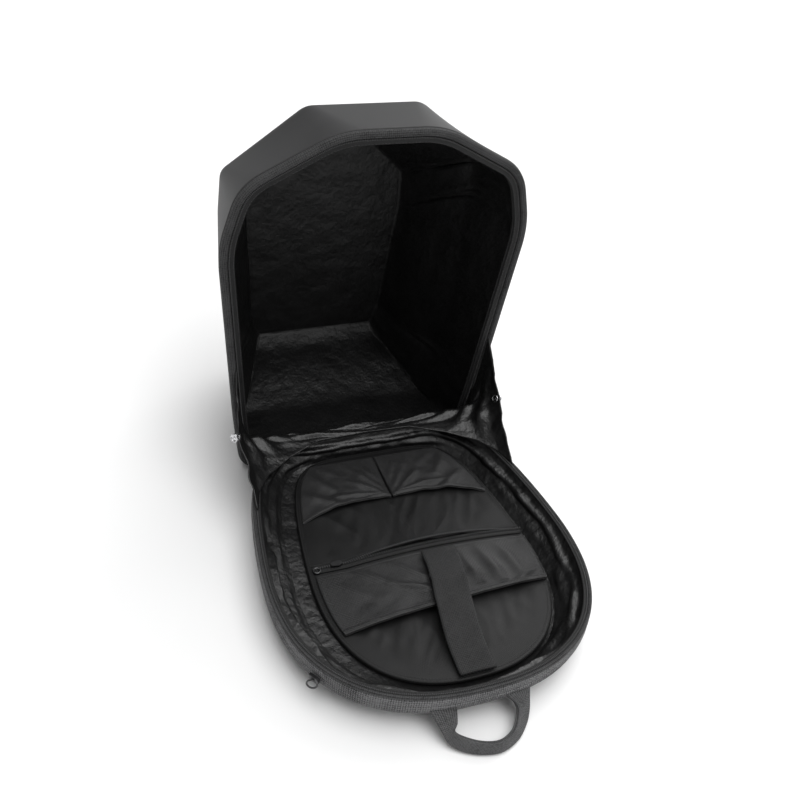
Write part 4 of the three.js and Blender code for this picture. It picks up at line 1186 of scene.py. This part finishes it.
makeHandle()
wireRing("pocket_end_ring", "pocket_zip_end_ring")
wireRing("main_pull_ring", "main_zip_pull")
zipSlider("pocket_slider", "pocket_zip_slider")
zipSlider("main_slider", "main_zip_slider")
for node in ("strap_yoke", "back_pad", "shoulder_strap_left", "shoulder_strap_right"):
    fittedPad(node + "_padding", node)
for word in ("left", "right"):
    dress(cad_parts["strap_webbing_" + word], strapWebbing)
    dress(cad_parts["strap_buckle_" + word], buckleBlack)
print("hardware and straps ready")


# Floor, light and camera

studio = {
    "room": 0.22, "floorReach": 40.0, "floorGrey": 0.93,
    "lamps": {  # where each soft lamp stands from the bag, how wide it is in degrees, how strong
        "overhead": ((0.12, -0.05, 1.0), 60, 2.15),
        "behind right": ((0.75, 0.7, 0.6), 50, 1.5),
        "front right": ((0.3, -0.9, 0.8), 40, 0.65),
    },
}


def makeStage():
    mesh = bpy.data.meshes.new("floor")
    reach, grey = studio["floorReach"], studio["floorGrey"]
    corners = [(-reach, -reach, 0), (reach, -reach, 0), (reach, reach, 0), (-reach, reach, 0)]
    mesh.from_pydata(corners, [], [(0, 1, 2, 3)])
    floor = placed("floor", mesh)
    material, nodes, links, shader = startFinish("pale floor", 0.7)
    shader.inputs["Base Color"].default_value = (grey, grey, grey, 1)
    mesh.materials.append(material)

    scene = bpy.context.scene
    scene.view_settings.view_transform = "Standard"
    scene.world = scene.world or bpy.data.worlds.new("studio")
    scene.world.use_nodes = True
    background = scene.world.node_tree.nodes["Background"]
    background.inputs["Color"].default_value = (1, 1, 1, 1)
    background.inputs["Strength"].default_value = studio["room"]
    for name, (place, softness, power) in studio["lamps"].items():
        data = bpy.data.lights.new(name, "SUN")
        data.angle, data.energy = math.radians(softness), power
        placed(name, data).rotation_euler = Vector(place).to_track_quat("Z", "Y").to_euler()


def makeCamera():
    data = bpy.data.cameras.new("camera")
    data.lens, data.sensor_width = 45, 36
    data.clip_start, data.clip_end = 0.05, 50
    camera = placed("camera", data)
    # the photograph's own view, solved from the outlines of shell and tray
    right = Vector((0.93043909, -0.3462697, 0.11991825))
    up = Vector((0.13581448, 0.6297976, 0.76479371))
    back = right.cross(up)
    camera.matrix_world = Matrix((
        (right.x, up.x, back.x, -0.3509), (right.y, up.y, back.y, -0.7016),
        (right.z, up.z, back.z, 0.8145), (0, 0, 0, 1)))
    bpy.context.scene.camera = camera


makeStage()
makeCamera()
bpy.context.view_layer.update()
print("scene ready")
